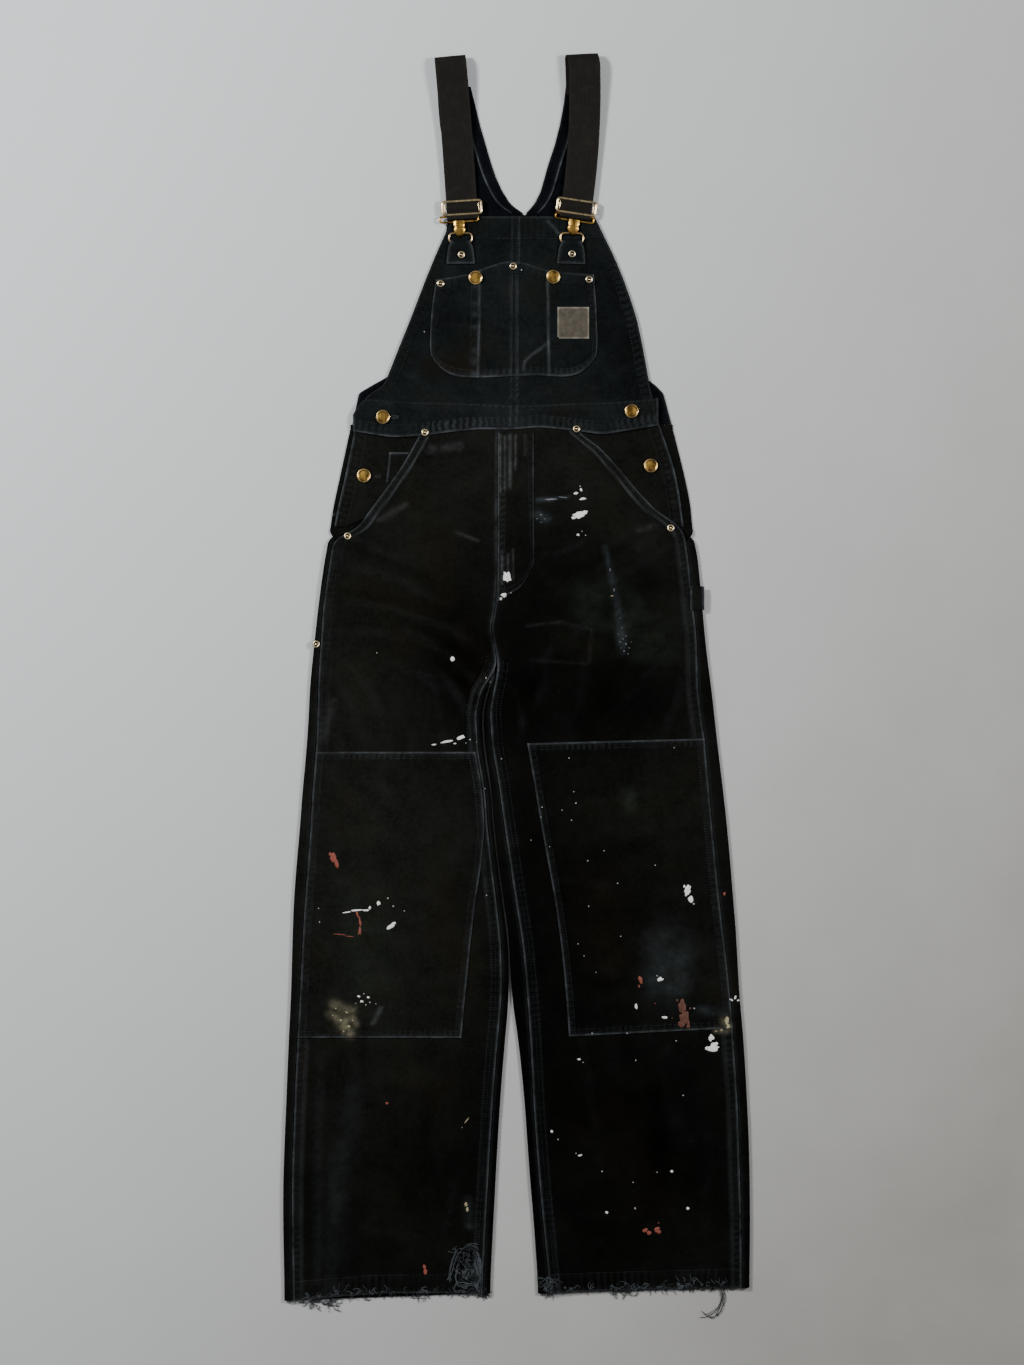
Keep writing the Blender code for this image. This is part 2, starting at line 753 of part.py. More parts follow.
def hook_frame(name, buckle):
    """A frame round the strap's end, with the hook that goes over the ring."""

    def keep(i, j):
        return (i == 2) if j >= 3 else (j != 1 or i in (0, 4))

    rows = tuple(HOOK_ROWS["up"])
    return stamping(name, HOOK_COLUMNS, rows, keep, buckle, HOOK_ROWS["high"], "hook_")


def tab_ring(name, buckle):
    level = [RING_HIGH] * len(RING_ROWS)
    frame = lambda i, j: (i, j) != (1, 1)
    return stamping(name, RING_COLUMNS, RING_ROWS, frame, buckle, level, "ring_")


def bib_tab(name, buckle):
    rows = list(range(len(TAB["up"])))

    def place(column, row):
        return (TAB["width"][row] * column, TAB["up"][row], TAB["high"][row])

    mesh = sheet([-0.5, 0.5], rows, place, faces_up=False)
    return set_down(finish(name, mesh, CANVAS, TAB_CLOTH, grows=0.0), buckle, "ring_")


def seat(surface, across, up, radius):
    """The height at which a flat piece of that radius just clears a surface."""
    highest = surface(across, up)
    for step in range(8):
        turn = step * math.pi / 4
        at = (across + radius * math.cos(turn), up + radius * math.sin(turn))
        highest = max(highest, surface(*at))
    return highest + SEAT_GAP


def turned(name, profile, sides, across, up, high):
    """A round brass piece, turned from its profile of radii and heights."""
    mesh = bmesh.new()
    start = [mesh.verts.new((0, 0, profile["high"][0]))]
    for out, level in zip(profile["out"], profile["high"]):
        start.append(mesh.verts.new((out, 0, level)))
    start.append(mesh.verts.new((0, 0, profile["high"][-1])))
    edges = [mesh.edges.new(pair) for pair in zip(start[:-1], start[1:])]
    bmesh.ops.spin(
        mesh,
        geom=start + edges,
        cent=(0, 0, 0),
        axis=(0, 0, 1),
        angle=2 * math.pi,
        steps=sides,
        use_merge=True,
    )
    bmesh.ops.remove_doubles(mesh, verts=mesh.verts, dist=0.001)
    bmesh.ops.recalc_face_normals(mesh, faces=mesh.faces)
    piece = finish(name, mesh, BRASS)
    piece.location = (across * MM, (up - MID_UP) * MM, high * MM)
    return piece


RIVET = table("out high", (RIVET_RADIUS, 0.0), (RIVET_RADIUS * 0.62, RIVET_HEIGHT))


def leg_top(leg):
    return lambda across, up: leg.low(across, up) + CLOTH


def facing_top(across, up):
    return FACING_LOW + CLOTH


def band_top(across, up):
    return BAND_LOW + 0.4 + BAND_CLOTH


def pocket_top(across, up):
    return bib_low(across, up) + 2 * CLOTH + GAP


def fold_top(across, up):
    return float(WRAP["high"].max())


def tab_top(across, up):
    return TAB["high"][-2] + TAB_CLOTH / 2 + 0.2


# The buttons and rivets: where each is, and the surface that carries it.
BUTTONS = (
    ("button_bib_r", -49.0, 1226.0, pocket_top),
    ("button_bib_l", 44.0, 1227.0, pocket_top),
    ("button_waist_r", -160.0, 1059.0, band_top),
    ("button_waist_l", 138.0, 1066.0, band_top),
    ("button_hip_r", -183.0, 989.0, facing_top),
    ("button_hip_l", 161.0, 1001.0, facing_top),
)
RIVETS = (
    ("rivet_pocket_r", -91.0, 1219.0, pocket_top),
    ("rivet_pocket_mid", -4.0, 1240.0, pocket_top),
    ("rivet_pocket_l", 87.0, 1224.0, pocket_top),
    ("rivet_waist_r", -109.8, 1040.5, band_top),
    ("rivet_waist_l", 71.8, 1044.8, band_top),
    ("rivet_mouth_r", -202.4, 916.5, leg_top(RIGHT)),
    ("rivet_mouth_l", 184.8, 926.2, leg_top(LEFT)),
    ("rivet_side_r", -240.0, 787.0, fold_top),
    ("rivet_tab_r", -66.0, 1253.5, tab_top),
    ("rivet_tab_l", 66.6, 1254.5, tab_top),
)

LABEL_SIZE = 38.0
LABEL_AT = (68.0, 1172.0)


def label_patch():
    """A bare square label, sewn on the bib pocket."""
    level = seat(pocket_top, *LABEL_AT, LABEL_SIZE / 2) - SEAT_GAP + GAP
    half = LABEL_SIZE / 2

    def place(x, y):
        return point(LABEL_AT[0] + x, LABEL_AT[1] + y, level)

    return finish("label_patch", sheet([-half, half], [-half, half], place), LABEL, 1.0)


LOOP_WIDTH = 17.0
LOOP_ENDS = (828.0, 856.0)


def hammer_loop():
    """A webbing loop over the left outseam."""
    middle = (LEFT.seam(840.0) + LEFT.fold(840.0)) / 2

    def place(x, up):
        bend = math.sin(math.pi * (up - LOOP_ENDS[0]) / (LOOP_ENDS[1] - LOOP_ENDS[0]))
        return point(middle + x, up, fold_top(0, 0) + GAP + 1.2 * bend)

    rows = list(np.linspace(*LOOP_ENDS, 5))
    half = LOOP_WIDTH / 2
    return finish("hammer_loop", sheet([-half, 0.0, half], rows, place), CANVAS, 1.2)


def make_material(name, colour, roughness, metallic):
    new = bpy.data.materials.new(name)
    new.use_nodes = True
    shader = new.node_tree.nodes["Principled BSDF"]
    shader.inputs["Base Color"].default_value = (*colour, 1.0)
    shader.inputs["Roughness"].default_value = roughness
    shader.inputs["Metallic"].default_value = metallic
    new.diffuse_color = (*colour, 1.0)
    return new


for old in list(bpy.data.objects):
    bpy.data.objects.remove(old, do_unlink=True)
materials = {}
for finish_values in (CANVAS, INSIDE, ELASTIC, BRASS, LABEL):
    materials[finish_values[0]] = make_material(*finish_values)

for letter, one_leg in LEGS:
    back_leg(f"back_leg_{letter}", one_leg)
    front_leg(f"front_leg_{letter}", one_leg, HOLE if letter == "r" else None)
    knee_panel(f"knee_panel_{letter}", one_leg)
    hip_facing(f"hip_facing_{letter}", one_leg)
fly()
coin_pocket()
bib_front()
bib_pocket()
waistband()
back_body()
neck_facing("neck_facing_r", -1, "neck_right")
neck_facing("neck_facing_l", 1, "neck_left")
label_patch()
hammer_loop()
for number, letter in enumerate("rl"):
    elastic_strap(f"elastic_strap_{letter}", number)
    slide_adjuster(f"slide_adjuster_{letter}", number)
    hook_frame(f"hook_frame_{letter}", number)
    tab_ring(f"tab_ring_{letter}", number)
    bib_tab(f"bib_tab_{letter}", number)
for name, across, up, surface in BUTTONS:
    turned(name, BUTTON, BUTTON_SIDES, across, up, seat(surface, across, up, BUTTON["out"][0]))
for name, across, up, surface in RIVETS:
    turned(name, RIVET, RIVET_SIDES, across, up, seat(surface, across, up, RIVET_RADIUS))
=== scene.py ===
"""Paint spattered bib dungarees, laid flat on a pale floor: cloth, sewing, brass and paint.

Lengths are in millimetres until a mesh is made. "across" is X, "up" starts at the lowest hem
corner, as in the cutting of the solids, and the world's Y is up less HALF_LENGTH.
"""

import math

import bmesh
import bpy
import numpy as np
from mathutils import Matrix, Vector
from mathutils.bvhtree import BVHTree


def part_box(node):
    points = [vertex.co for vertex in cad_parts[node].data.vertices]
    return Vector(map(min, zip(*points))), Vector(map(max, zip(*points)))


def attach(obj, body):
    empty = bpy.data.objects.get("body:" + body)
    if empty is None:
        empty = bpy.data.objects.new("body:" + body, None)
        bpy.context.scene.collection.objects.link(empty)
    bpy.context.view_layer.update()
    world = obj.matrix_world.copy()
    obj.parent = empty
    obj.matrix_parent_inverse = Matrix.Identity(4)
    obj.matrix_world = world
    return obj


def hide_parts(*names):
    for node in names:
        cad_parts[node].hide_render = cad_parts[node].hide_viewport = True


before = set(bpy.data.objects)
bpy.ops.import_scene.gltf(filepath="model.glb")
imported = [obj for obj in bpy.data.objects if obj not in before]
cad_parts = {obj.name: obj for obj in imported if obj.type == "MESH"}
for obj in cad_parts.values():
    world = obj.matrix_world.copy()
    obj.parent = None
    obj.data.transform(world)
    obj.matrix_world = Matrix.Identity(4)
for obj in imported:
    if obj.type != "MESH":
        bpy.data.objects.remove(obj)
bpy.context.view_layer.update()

MM = 0.001
HALF_LENGTH = 747.3
CLOTH = 1.4

# The photograph: its scale in millimetres a pixel, and the pixel of across 0, up 0.
PHOTO_SCALE = 1.2
PHOTO_ACROSS = 516.5
PHOTO_UP = 1300.0
PHOTO_WIDE = 1024
PHOTO_TALL = 1365


def from_photo(x, y):
    """Where a pixel of the photograph lies, as across and up."""
    x, y = np.asarray(x, float), np.asarray(y, float)
    return (x - PHOTO_ACROSS) * PHOTO_SCALE, (PHOTO_UP - y) * PHOTO_SCALE


def table(columns, *rows):
    """A dictionary of arrays, one for each named column."""
    return dict(zip(columns.split(), np.array(rows, float).T))


def ease(at, low, high):
    """Goes smoothly from 0 at low to 1 at high."""
    t = np.clip((at - low) / (high - low), 0.0, 1.0)
    return t * t * (3 - 2 * t)


def bell(at, middle, reach):
    """1 at the middle and less and less on both sides of it."""
    return np.exp(-(((at - middle) / reach) ** 2))


def fading(far, reach):
    """1 at no distance and less and less with it."""
    return np.exp(-far / reach)


def noise(x, y, size, seed):
    """Smooth random values from -1 to 1, with lumps of about that size."""
    cells = np.random.default_rng(seed).uniform(-1, 1, (256, 256))
    x, y = (np.asarray(x) + 700) / size, (np.asarray(y) + 900) / size
    i, j = np.floor(x).astype(int), np.floor(y).astype(int)
    s, t = ease(x - i, 0, 1), ease(y - j, 0, 1)
    i, j, right, above = i % 256, j % 256, (i + 1) % 256, (j + 1) % 256
    low = cells[i, j] * (1 - s) + cells[right, j] * s
    high = cells[i, above] * (1 - s) + cells[right, above] * s
    return low * (1 - t) + high * t


def ripple(along, size, seed):
    """Uneven waves along a line, from -1 to 1."""
    return noise(along, np.full_like(np.asarray(along, float), 31.0 * (seed % 40)), size, seed)


def run_of(line):
    """How far along a line each of its points lies."""
    steps = np.linalg.norm(np.diff(line, axis=0), axis=1)
    return np.concatenate([[0], np.cumsum(steps)])


def length_of(line):
    """The whole length of a line."""
    return float(np.linalg.norm(np.diff(line, axis=0), axis=1).sum())


def soft_weights(half, reach):
    """The weights of a blur, with that many on each side of the middle one."""
    weights = np.exp(-0.5 * (np.arange(-half, half + 1) / reach) ** 2)
    return weights / weights.sum()


def blur(values, reach):
    """Smooths a grid of values over that many cells, the same way along both sides."""
    if reach <= 0:
        return values
    half = int(3 * reach)
    weights = soft_weights(half, reach)
    for axis in range(2):
        if values.shape[axis] < 3:
            continue
        wide = np.pad(values, [(half, half) if k == axis else (0, 0) for k in range(2)], "reflect",
                      reflect_type="odd")
        values = np.apply_along_axis(lambda line: np.convolve(line, weights, "valid"), axis, wide)
    return values


# Creases pressed into the cloth by wear: the middle, length, lean from upright, half width,
# height and bend of each. A negative height is a trough.
CREASES = table(
    "across up length lean wide high bend",
    (-176, 905, 120, 62, 7, 1.6, 10),
    (-150, 884, 170, 66, 8, -1.5, 14),
    (-140, 862, 190, 70, 9, 2.0, 12),
    (-150, 838, 170, 76, 7, -1.3, 8),
    (-120, 822, 190, 72, 9, 1.7, 16),
    (-170, 800, 130, 82, 8, 1.3, 6),
    (-95, 795, 150, 58, 8, -1.0, 12),
    (-80, 772, 150, 52, 9, 1.3, 10),
    (-120, 752, 160, 66, 10, 1.2, 10),
    (-60, 735, 120, 40, 8, -1.3, 8),
    (-62, 706, 130, 22, 9, 1.1, 8),
    (-90, 690, 120, 8, 9, 1.1, 6),
    (-170, 720, 140, 30, 9, 1.1, 8),
    (-205, 690, 120, 14, 8, -0.9, 5),
    (-200, 760, 110, 50, 8, 1.0, 6),
    (60, 900, 90, -70, 7, 1.2, 8),
    (110, 893, 150, -62, 9, -1.2, 12),
    (120, 868, 170, -66, 9, 1.5, 10),
    (100, 838, 170, -76, 8, -1.0, 8),
    (130, 810, 150, -80, 9, 1.2, 8),
    (60, 790, 120, -52, 8, 0.8, 8),
    (40, 760, 130, -36, 9, -0.8, 8),
    (30, 735, 120, -20, 8, 0.9, 8),
    (75, 720, 150, -12, 10, 0.7, 8),
    (150, 740, 140, -42, 10, 1.0, 8),
    (185, 700, 140, -20, 9, 1.1, 6),
    (5, 700, 90, 8, 7, 1.2, 6),
    (-35, 660, 90, 20, 6, 1.2, 4),
    (-180, 620, 110, 80, 8, 1.0, 6),
    (-150, 560, 150, 84, 10, 0.9, 10),
    (-110, 470, 160, 80, 10, -0.8, 10),
    (-190, 440, 130, -78, 9, 0.8, 8),
    (-120, 385, 160, 86, 9, 0.8, 8),
    (-200, 330, 110, 70, 8, -0.7, 6),
    (110, 600, 150, -84, 9, 0.9, 8),
    (150, 545, 160, -74, 10, -0.8, 10),
    (90, 500, 130, 80, 9, 0.9, 8),
    (180, 440, 140, -84, 10, 0.9, 8),
    (120, 380, 150, 86, 9, -0.7, 8),
    (200, 340, 120, -76, 8, 0.8, 6),
    (-190, 250, 190, 4, 12, 0.9, 8),
    (-110, 190, 210, -5, 13, -0.8, 8),
    (-220, 130, 170, 2, 10, 0.8, 6),
    (-80, 110, 130, -8, 9, 0.7, 6),
    (-150, 80, 120, 82, 9, 0.7, 8),
    (90, 240, 190, 6, 12, 0.9, 8),
    (170, 190, 220, 3, 13, -0.8, 8),
    (230, 150, 170, -3, 10, 0.8, 6),
    (120, 100, 130, 80, 9, 0.7, 8),
    (-60, 1165, 90, 70, 9, 0.9, 8),
    (30, 1150, 90, -76, 8, 0.8, 8),
    (60, 1195, 70, -60, 8, -0.7, 6),
    (-120, 1105, 70, 60, 7, 1.0, 4),
    (118, 1110, 80, -56, 8, 1.0, 4),
    (-30, 1092, 120, 84, 7, 0.9, 4),
    (60, 1090, 110, -86, 7, 0.9, 4),
    (0, 1270, 110, 86, 8, 0.8, 6),
    (-60, 1265, 50, 30, 6, 0.6, 3),
)


def creases(across, up):
    """The height that the creases add."""
    high = np.zeros_like(across)
    for row in zip(*CREASES.values()):
        x0, y0, length, lean, wide, height, bend = row
        x, y = across - x0, up - y0
        c, s = math.cos(math.radians(lean)), math.sin(math.radians(lean))
        on = (y * c - x * s) * 2 / length
        off = x * c + y * s + bend * on * on
        narrow = wide * (1 - 0.35 * on)
        high += height * np.clip(1 - on * on, 0, 1) * bell(off, 0, narrow)
    return high


CREASE_SHARE = 0.6
# The soft dents and small lumps: the size, height and seed of each kind.
LUMPS = ((46, 0.35, 3), (21, 0.22, 4), (10, 0.10, 5))


def relief(across, up):
    """What every layer of the cloth shares: creases, soft dents and small lumps."""
    high = CREASE_SHARE * creases(across, up)
    for size, height, seed in LUMPS:
        high += height * noise(across, up, size, seed)
    return high


# Broad changes of the black: the middle and half sizes of each patch in the photograph's
# pixels, and how much darker or paler than plain cloth it is. The paler patches are faded
# cloth. The darker ones are partly blacker cloth and partly painted shade: in the crotch,
# between the legs, and towards the bottom and the lower right, where less light falls.
FADES_AND_SHADES = table(
    "x y wide tall much",
    (600, 600, 90, 90, -0.23),
    (600, 705, 100, 55, -0.24),
    (600, 880, 80, 130, -0.30),
    (640, 1160, 130, 160, -0.37),
    (520, 900, 26, 260, -0.16),
    (410, 480, 60, 40, 0.12),
    (400, 560, 60, 50, 0.10),
    (590, 470, 70, 40, 0.10),
    (630, 520, 60, 40, 0.08),
    (390, 880, 90, 130, 0.13),
    (385, 680, 60, 50, 0.10),
    (350, 800, 50, 60, 0.10),
    (380, 1215, 110, 90, -0.16),
    (440, 640, 40, 60, -0.12),
    (465, 670, 30, 70, -0.24),
    (670, 960, 50, 60, 0.22),
    (640, 800, 60, 60, 0.16),
    (690, 640, 24, 100, 0.10),
    (445, 335, 30, 50, -0.06),
    (620, 330, 36, 60, -0.10),
    (505, 330, 34, 60, 0.14),
    (400, 360, 20, 30, 0.04),
    (450, 412, 90, 14, 0.10),
    (600, 415, 90, 12, 0.08),
    (600, 270, 30, 30, -0.06),
    (515, 240, 110, 30, 0.06),
    (420, 400, 60, 30, 0.08),
    (600, 410, 60, 30, 0.05),
    (515, 420, 30, 20, 0.16),
)

# Stains and rubbed places: where each starts and ends in the photograph's pixels, its half
# width there, and its strength.
MARKS = {
    "brown": ((0.0085, 0.0060, 0.0032), table(
        "x y to_x to_y reach strength",
        (446, 362, 468, 364, 12, 1.0),
        (428, 366, 436, 370, 8, 0.6),
        (556, 412, 566, 414, 7, 0.6),
        (436, 545, 440, 600, 22, 0.45),
        (395, 600, 400, 640, 26, 0.35),
        (470, 640, 480, 690, 20, 0.35),
        (600, 880, 610, 960, 30, 0.40),
        (440, 880, 446, 980, 24, 0.35),
        (600, 1120, 640, 1200, 40, 0.30),
        (400, 1060, 440, 1080, 24, 0.35),
        (560, 640, 590, 650, 18, 0.25),
    )),
    "green": ((0.022, 0.028, 0.020), table(
        "x y to_x to_y reach strength",
        (628, 795, 630, 806, 9, 0.35),
        (600, 600, 650, 640, 30, 0.30),
        (360, 900, 380, 1000, 30, 0.25),
    )),
    "blue": ((0.026, 0.032, 0.034), table(
        "x y to_x to_y reach strength",
        (605, 548, 613, 583, 2.4, 0.9),
        (613, 583, 619, 616, 2.8, 0.9),
        (619, 616, 623, 650, 4.0, 0.9),
        (538, 500, 552, 499, 2.2, 1.0),
        (552, 499, 569, 497, 1.3, 0.9),
        (536, 515, 547, 519, 4.6, 1.0),
        (668, 945, 668, 985, 18, 0.50),
        (650, 940, 655, 990, 10, 0.30),
        (684, 955, 680, 990, 8, 0.35),
        (352, 1090, 338, 1200, 9, 0.16),
        (341, 1150, 331, 1290, 10, 0.20),
        (320, 1060, 318, 1280, 4, 0.20),
        (470, 1225, 468, 1200, 4, 0.5),
        (700, 1010, 728, 1012, 5, 0.5),
    )),
    "grey": ((0.050, 0.054, 0.054), table(
        "x y to_x to_y reach strength",
        (500, 436, 500, 492, 1.3, 1.0),
        (505, 438, 505, 490, 1.2, 0.9),
        (510, 436, 510, 488, 1.7, 1.0),
        (515.5, 436, 515.5, 470, 1.2, 0.8),
        (525, 436, 525, 455, 1.5, 0.35),
        (502, 552, 502, 584, 1.2, 0.8),
        (508, 555, 508, 582, 1.3, 0.6),
        (513, 550, 513, 580, 1.0, 0.5),
        (456, 532, 478, 541, 1.5, 0.6),
        (373, 1023, 381, 1008, 2.2, 0.9),
        (430, 450, 460, 446, 4.0, 0.35),
        (405, 505, 380, 520, 3.0, 0.35),
        (640, 530, 655, 526, 3.0, 0.35),
        (334, 700, 322, 740, 4.0, 0.25),
        (560, 235, 548, 222, 1.6, 0.5),
        (332, 515, 340, 513, 1.0, 0.8),
        (527, 626, 560, 622, 1.4, 0.20),
        (560, 622, 591, 630, 1.4, 0.20),
        (591, 630, 590, 664, 1.4, 0.16),
        (530, 660, 590, 664, 1.4, 0.16),
    )),
    "cream": ((0.160, 0.145, 0.095), table(
        "x y to_x to_y reach strength",
        (334, 1004, 352, 1010, 4.5, 0.75),
        (330, 1014, 346, 1020, 4.0, 0.65),
        (342, 1024, 350, 1032, 5.0, 0.80),
        (352, 1016, 357, 1024, 3.0, 0.55),
        (724, 1020, 728, 1026, 3.4, 0.9),
        (716, 1030, 726, 1031, 2.6, 0.5),
    )),
}


PLAIN_FADE = 0.5
FADE_AND_SHADE_LIMITS = (0.08, 1.0)
# The clouds in the black: the size, strength and seed of each kind.
CLOUDS = ((70, 0.06, 8), (26, 0.05, 9))


def fade_and_shade_at(across, up):
    """How dark the cloth is at each point: PLAIN_FADE, or less where it is blacker or has painted shade."""
    fade = np.full_like(across, PLAIN_FADE)
    for size, strength, seed in CLOUDS:
        fade += strength * noise(across, up, size, seed)
    for x, y, wide, tall, much in zip(*FADES_AND_SHADES.values()):
        x, y = from_photo(x, y)
        far = ((across - x) / (wide * PHOTO_SCALE)) ** 2 + ((up - y) / (tall * PHOTO_SCALE)) ** 2
        fade += much * np.exp(-far * 0.7)
    return np.clip(fade, *FADE_AND_SHADE_LIMITS)


# A stain is mottled: its share at the middle of the mottling, and how far it goes either way.
STAIN_SHARE = 0.85
STAIN_MOTTLE = 0.5
STAIN_LUMP = 4.0
STAIN_SEED = 60


def stains(across, up):
    """The colour and the amount of the stains at each point."""
    colour = np.zeros((*across.shape, 3))
    amount = np.zeros(across.shape)
    for number, (tint, rows) in enumerate(MARKS.values()):
        for x, y, to_x, to_y, reach, strength in zip(*rows.values()):
            start, end = np.array(from_photo(x, y)), np.array(from_photo(to_x, to_y))
            run = end - start
            share = ((across - start[0]) * run[0] + (up - start[1]) * run[1]) / max(run @ run, 1e-6)
            share = np.clip(share, 0, 1)
            far = np.hypot(across - start[0] - share * run[0], up - start[1] - share * run[1])
            size = reach * PHOTO_SCALE
            weight = bell(far, 0, size) * strength
            lumps = noise(across, up, max(size / 2, STAIN_LUMP), STAIN_SEED + number)
            weight *= STAIN_SHARE + STAIN_MOTTLE * lumps
            weight = np.clip(weight, 0, 1)
            colour = colour * (1 - weight)[..., None] + np.array(tint) * weight[..., None]
            amount = amount + weight * (1 - amount)
    colour /= np.maximum(amount, 1e-3)[..., None]
    return np.dstack([colour, amount])


# A face belongs to the upper side of a solid when its normal points up at least this much.
LEAST_RISE = 0.6
# Heights are read from above: over a solid from here in millimetres, over the cloth in metres.
ABOVE_SOLID = 60.0
ABOVE_CLOTH = 0.1
DOWN = Vector((0, 0, -1))


def mesh_arrays(node):
    """The points and triangles of a solid, in millimetres."""
    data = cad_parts[node].data
    data.calc_loop_triangles()
    points = np.empty(len(data.vertices) * 3)
    data.vertices.foreach_get("co", points)
    faces = np.empty(len(data.loop_triangles) * 3, int)
    data.loop_triangles.foreach_get("vertices", faces)
    points = points.reshape(-1, 3) / MM + (0, HALF_LENGTH, 0)
    return points, faces.reshape(-1, 3)


def outline(node):
    """The largest loop round a solid's upper side, going round to the left, as (n, 2)."""
    mesh = bmesh.new()
    mesh.from_mesh(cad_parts[node].data)
    bmesh.ops.remove_doubles(mesh, verts=mesh.verts, dist=1e-5)
    lower = [face for face in mesh.faces if face.normal.z < LEAST_RISE]
    bmesh.ops.delete(mesh, geom=lower, context="FACES")
    follows = {}
    for face in mesh.faces:
        for loop in face.loops:
            if loop.edge.is_boundary:
                follows[loop.vert] = loop.link_loop_next.vert
    best = []
    while follows:
        start = next(iter(follows))
        walk, at = [], start
        while at in follows:
            walk.append((at.co.x / MM, at.co.y / MM + HALF_LENGTH))
            at = follows.pop(at)
        if len(walk) > len(best):
            best = walk
    mesh.free()
    return np.array(best)


def resample(line, shares, soften=0.0):
    """Points at those shares of a line's length, with its corners softened."""
    run = run_of(line)
    fine = np.linspace(0, run[-1], max(int(run[-1]), 8))
    points = np.stack([np.interp(fine, run, line[:, k]) for k in range(line.shape[1])], 1)
    if soften:
        half = int(2.5 * soften)
        weights = soft_weights(half, soften)
        padded = np.pad(points, ((half, half), (0, 0)), "reflect", reflect_type="odd")
        points = np.stack([np.convolve(column, weights, "valid") for column in padded.T], 1)
    at = np.asarray(shares) * fine[-1]
    return np.stack([np.interp(at, fine, points[:, k]) for k in range(line.shape[1])], 1)


# How far from each edge of a panel its close lines run.
CLOSE_LINES = (0.5, 1.5, 3.0)


def spread(length, step):
    """Shares along a length: even steps, with close lines beside both ends."""
    near = [0.0, *[line for line in CLOSE_LINES if line < length / 3]]
    count = max(int(round((length - 2 * near[-1]) / step)), 2)
    inside = np.linspace(near[-1], length - near[-1], count + 1)
    lines = [*near[:-1], *inside, *[length - line for line in reversed(near[:-1])]]
    return np.array(lines) / length


class Panel:
    """A cut piece as a fine grid of points on its solid's upper side."""

    def __init__(self, node, corners, step, soften=6.0, blurred=3.0, joined=0.0):
        self.node = node
        loop = outline(node)
        at = [int(np.argmin(np.linalg.norm(loop - np.array(c), axis=1))) for c in corners]

        def side(first, last):
            if last <= first:
                last += len(loop)
            return loop[np.arange(first, last + 1) % len(loop)]

        low, right = side(at[0], at[1]), side(at[1], at[2])
        high, left = side(at[2], at[3])[::-1], side(at[3], at[0])[::-1]
        if joined:
            # The sides and the lower edge are softened as one, so that their corners are round.
            path = np.vstack([left[::-1], low[1:], right[1:]])
            parts = np.array([length_of(left), length_of(left) + length_of(low)])
            first, second = (1000 * parts / length_of(path)).astype(int)
            path = resample(path, np.linspace(0, 1, 1001), joined)
            left, low, right = path[: first + 1][::-1], path[first : second + 1], path[second:]
        wide = max(length_of(low), length_of(high))
        tall = max(length_of(left), length_of(right))
        u, v = spread(wide, step[0]), spread(tall, step[1])
        low, high = resample(low, u, soften), resample(high, u, soften)
        left, right = resample(left, v, soften), resample(right, v, soften)
        u, v = u[None, :, None], v[:, None, None]
        flat = (1 - v) * low[None] + v * high[None] + (1 - u) * left[:, None] + u * right[:, None]
        flat -= (1 - u) * (1 - v) * low[0] + u * (1 - v) * low[-1]
        flat -= (1 - u) * v * high[0] + u * v * high[-1]
        self.across, self.up = flat[..., 0], flat[..., 1]
        self.high = blur(self.sample(node), blurred)
        self.measure()

    def sample(self, node):
        """The height of a solid's upper side under each point."""
        points, faces = mesh_arrays(node)
        first, second, third = points[faces].transpose(1, 0, 2)
        normal = np.cross(second - first, third - first)
        faces = faces[normal[:, 2] > LEAST_RISE * np.linalg.norm(normal, axis=1)]
        tree = BVHTree.FromPolygons(points.tolist(), faces.tolist())
        high = np.empty(self.across.shape)
        for index in np.ndindex(high.shape):
            spot = Vector((self.across[index], self.up[index], ABOVE_SOLID))
            hit = tree.ray_cast(spot, DOWN)[0]
            if hit is None:
                hit = tree.find_nearest(Vector((spot.x, spot.y, points[:, 2].max())))[0]
            high[index] = hit.z
        return high

    def measure(self):
        """How far each point is from the four edges, and how far along them."""
        step = np.hypot(np.diff(self.across, axis=1), np.diff(self.up, axis=1))
        run = np.pad(np.cumsum(step, 1), ((0, 0), (1, 0)))
        self.off = {"left": run, "right": run[:, -1:] - run}
        self.on = {"low": run, "high": run}
        step = np.hypot(np.diff(self.across, axis=0), np.diff(self.up, axis=0))
        run = np.pad(np.cumsum(step, 0), ((1, 0), (0, 0)))
        self.off.update(low=run, high=run[-1:, :] - run)
        self.on.update(left=run, right=run)
        self.wear = np.zeros_like(self.across)
        self.fade = fade_and_shade_at(self.across, self.up)

    def keep(self):
        """What has been formed so far, for limit to go back to."""
        return self.high.copy(), self.wear.copy(), self.fade.copy()

    def limit(self, kept, mask):
        """Leaves what was formed since then only where the mask is 1."""
        for name, before in zip(("high", "wear", "fade"), kept):
            setattr(self, name, before + (getattr(self, name) - before) * mask)

    def line(self, side, offset, inset=0.0):
        """The line on the panel at that distance from one edge, as (n, 3)."""
        off = self.off[side]
        grids = [self.across, self.up, self.high]
        if side in ("left", "right"):
            rows = range(off.shape[0])
            pick = [(off[j], [g[j] for g in grids]) for j in rows]
        else:
            pick = [(off[:, i], [g[:, i] for g in grids]) for i in range(off.shape[1])]
        found = []
        for distance, values in pick:
            if distance.max() < offset:
                continue
            order = np.argsort(distance)
            found.append([np.interp(offset, distance[order], value[order]) for value in values])
        found = np.array(found)
        if inset:
            run = run_of(found[:, :2])
            found = found[(run >= inset) & (run <= run[-1] - inset)]
        return found


# Along every sewn edge, puckers like the rungs of a ladder: the step from one to the next, and
# how far from the edge they can reach.
RUNG = 7.6
RUNG_REACH = 45.0
# How far in an edge is rolled over, and the middle and reach of its ridge.
ROLL_REACH = 0.9
RIDGE = (0.8, 1.25)
# Each row of stitches: how far it sinks, how much darker it is, and its reach.
ROW_SINK = 0.28
ROW_DARK = 0.14
ROW_REACH = 1.2
# The groove beside the cloth that is turned under: how deep, how far off, and its reach.
GROOVE = 0.18
GROOVE_AT = (1.6, 1.4)


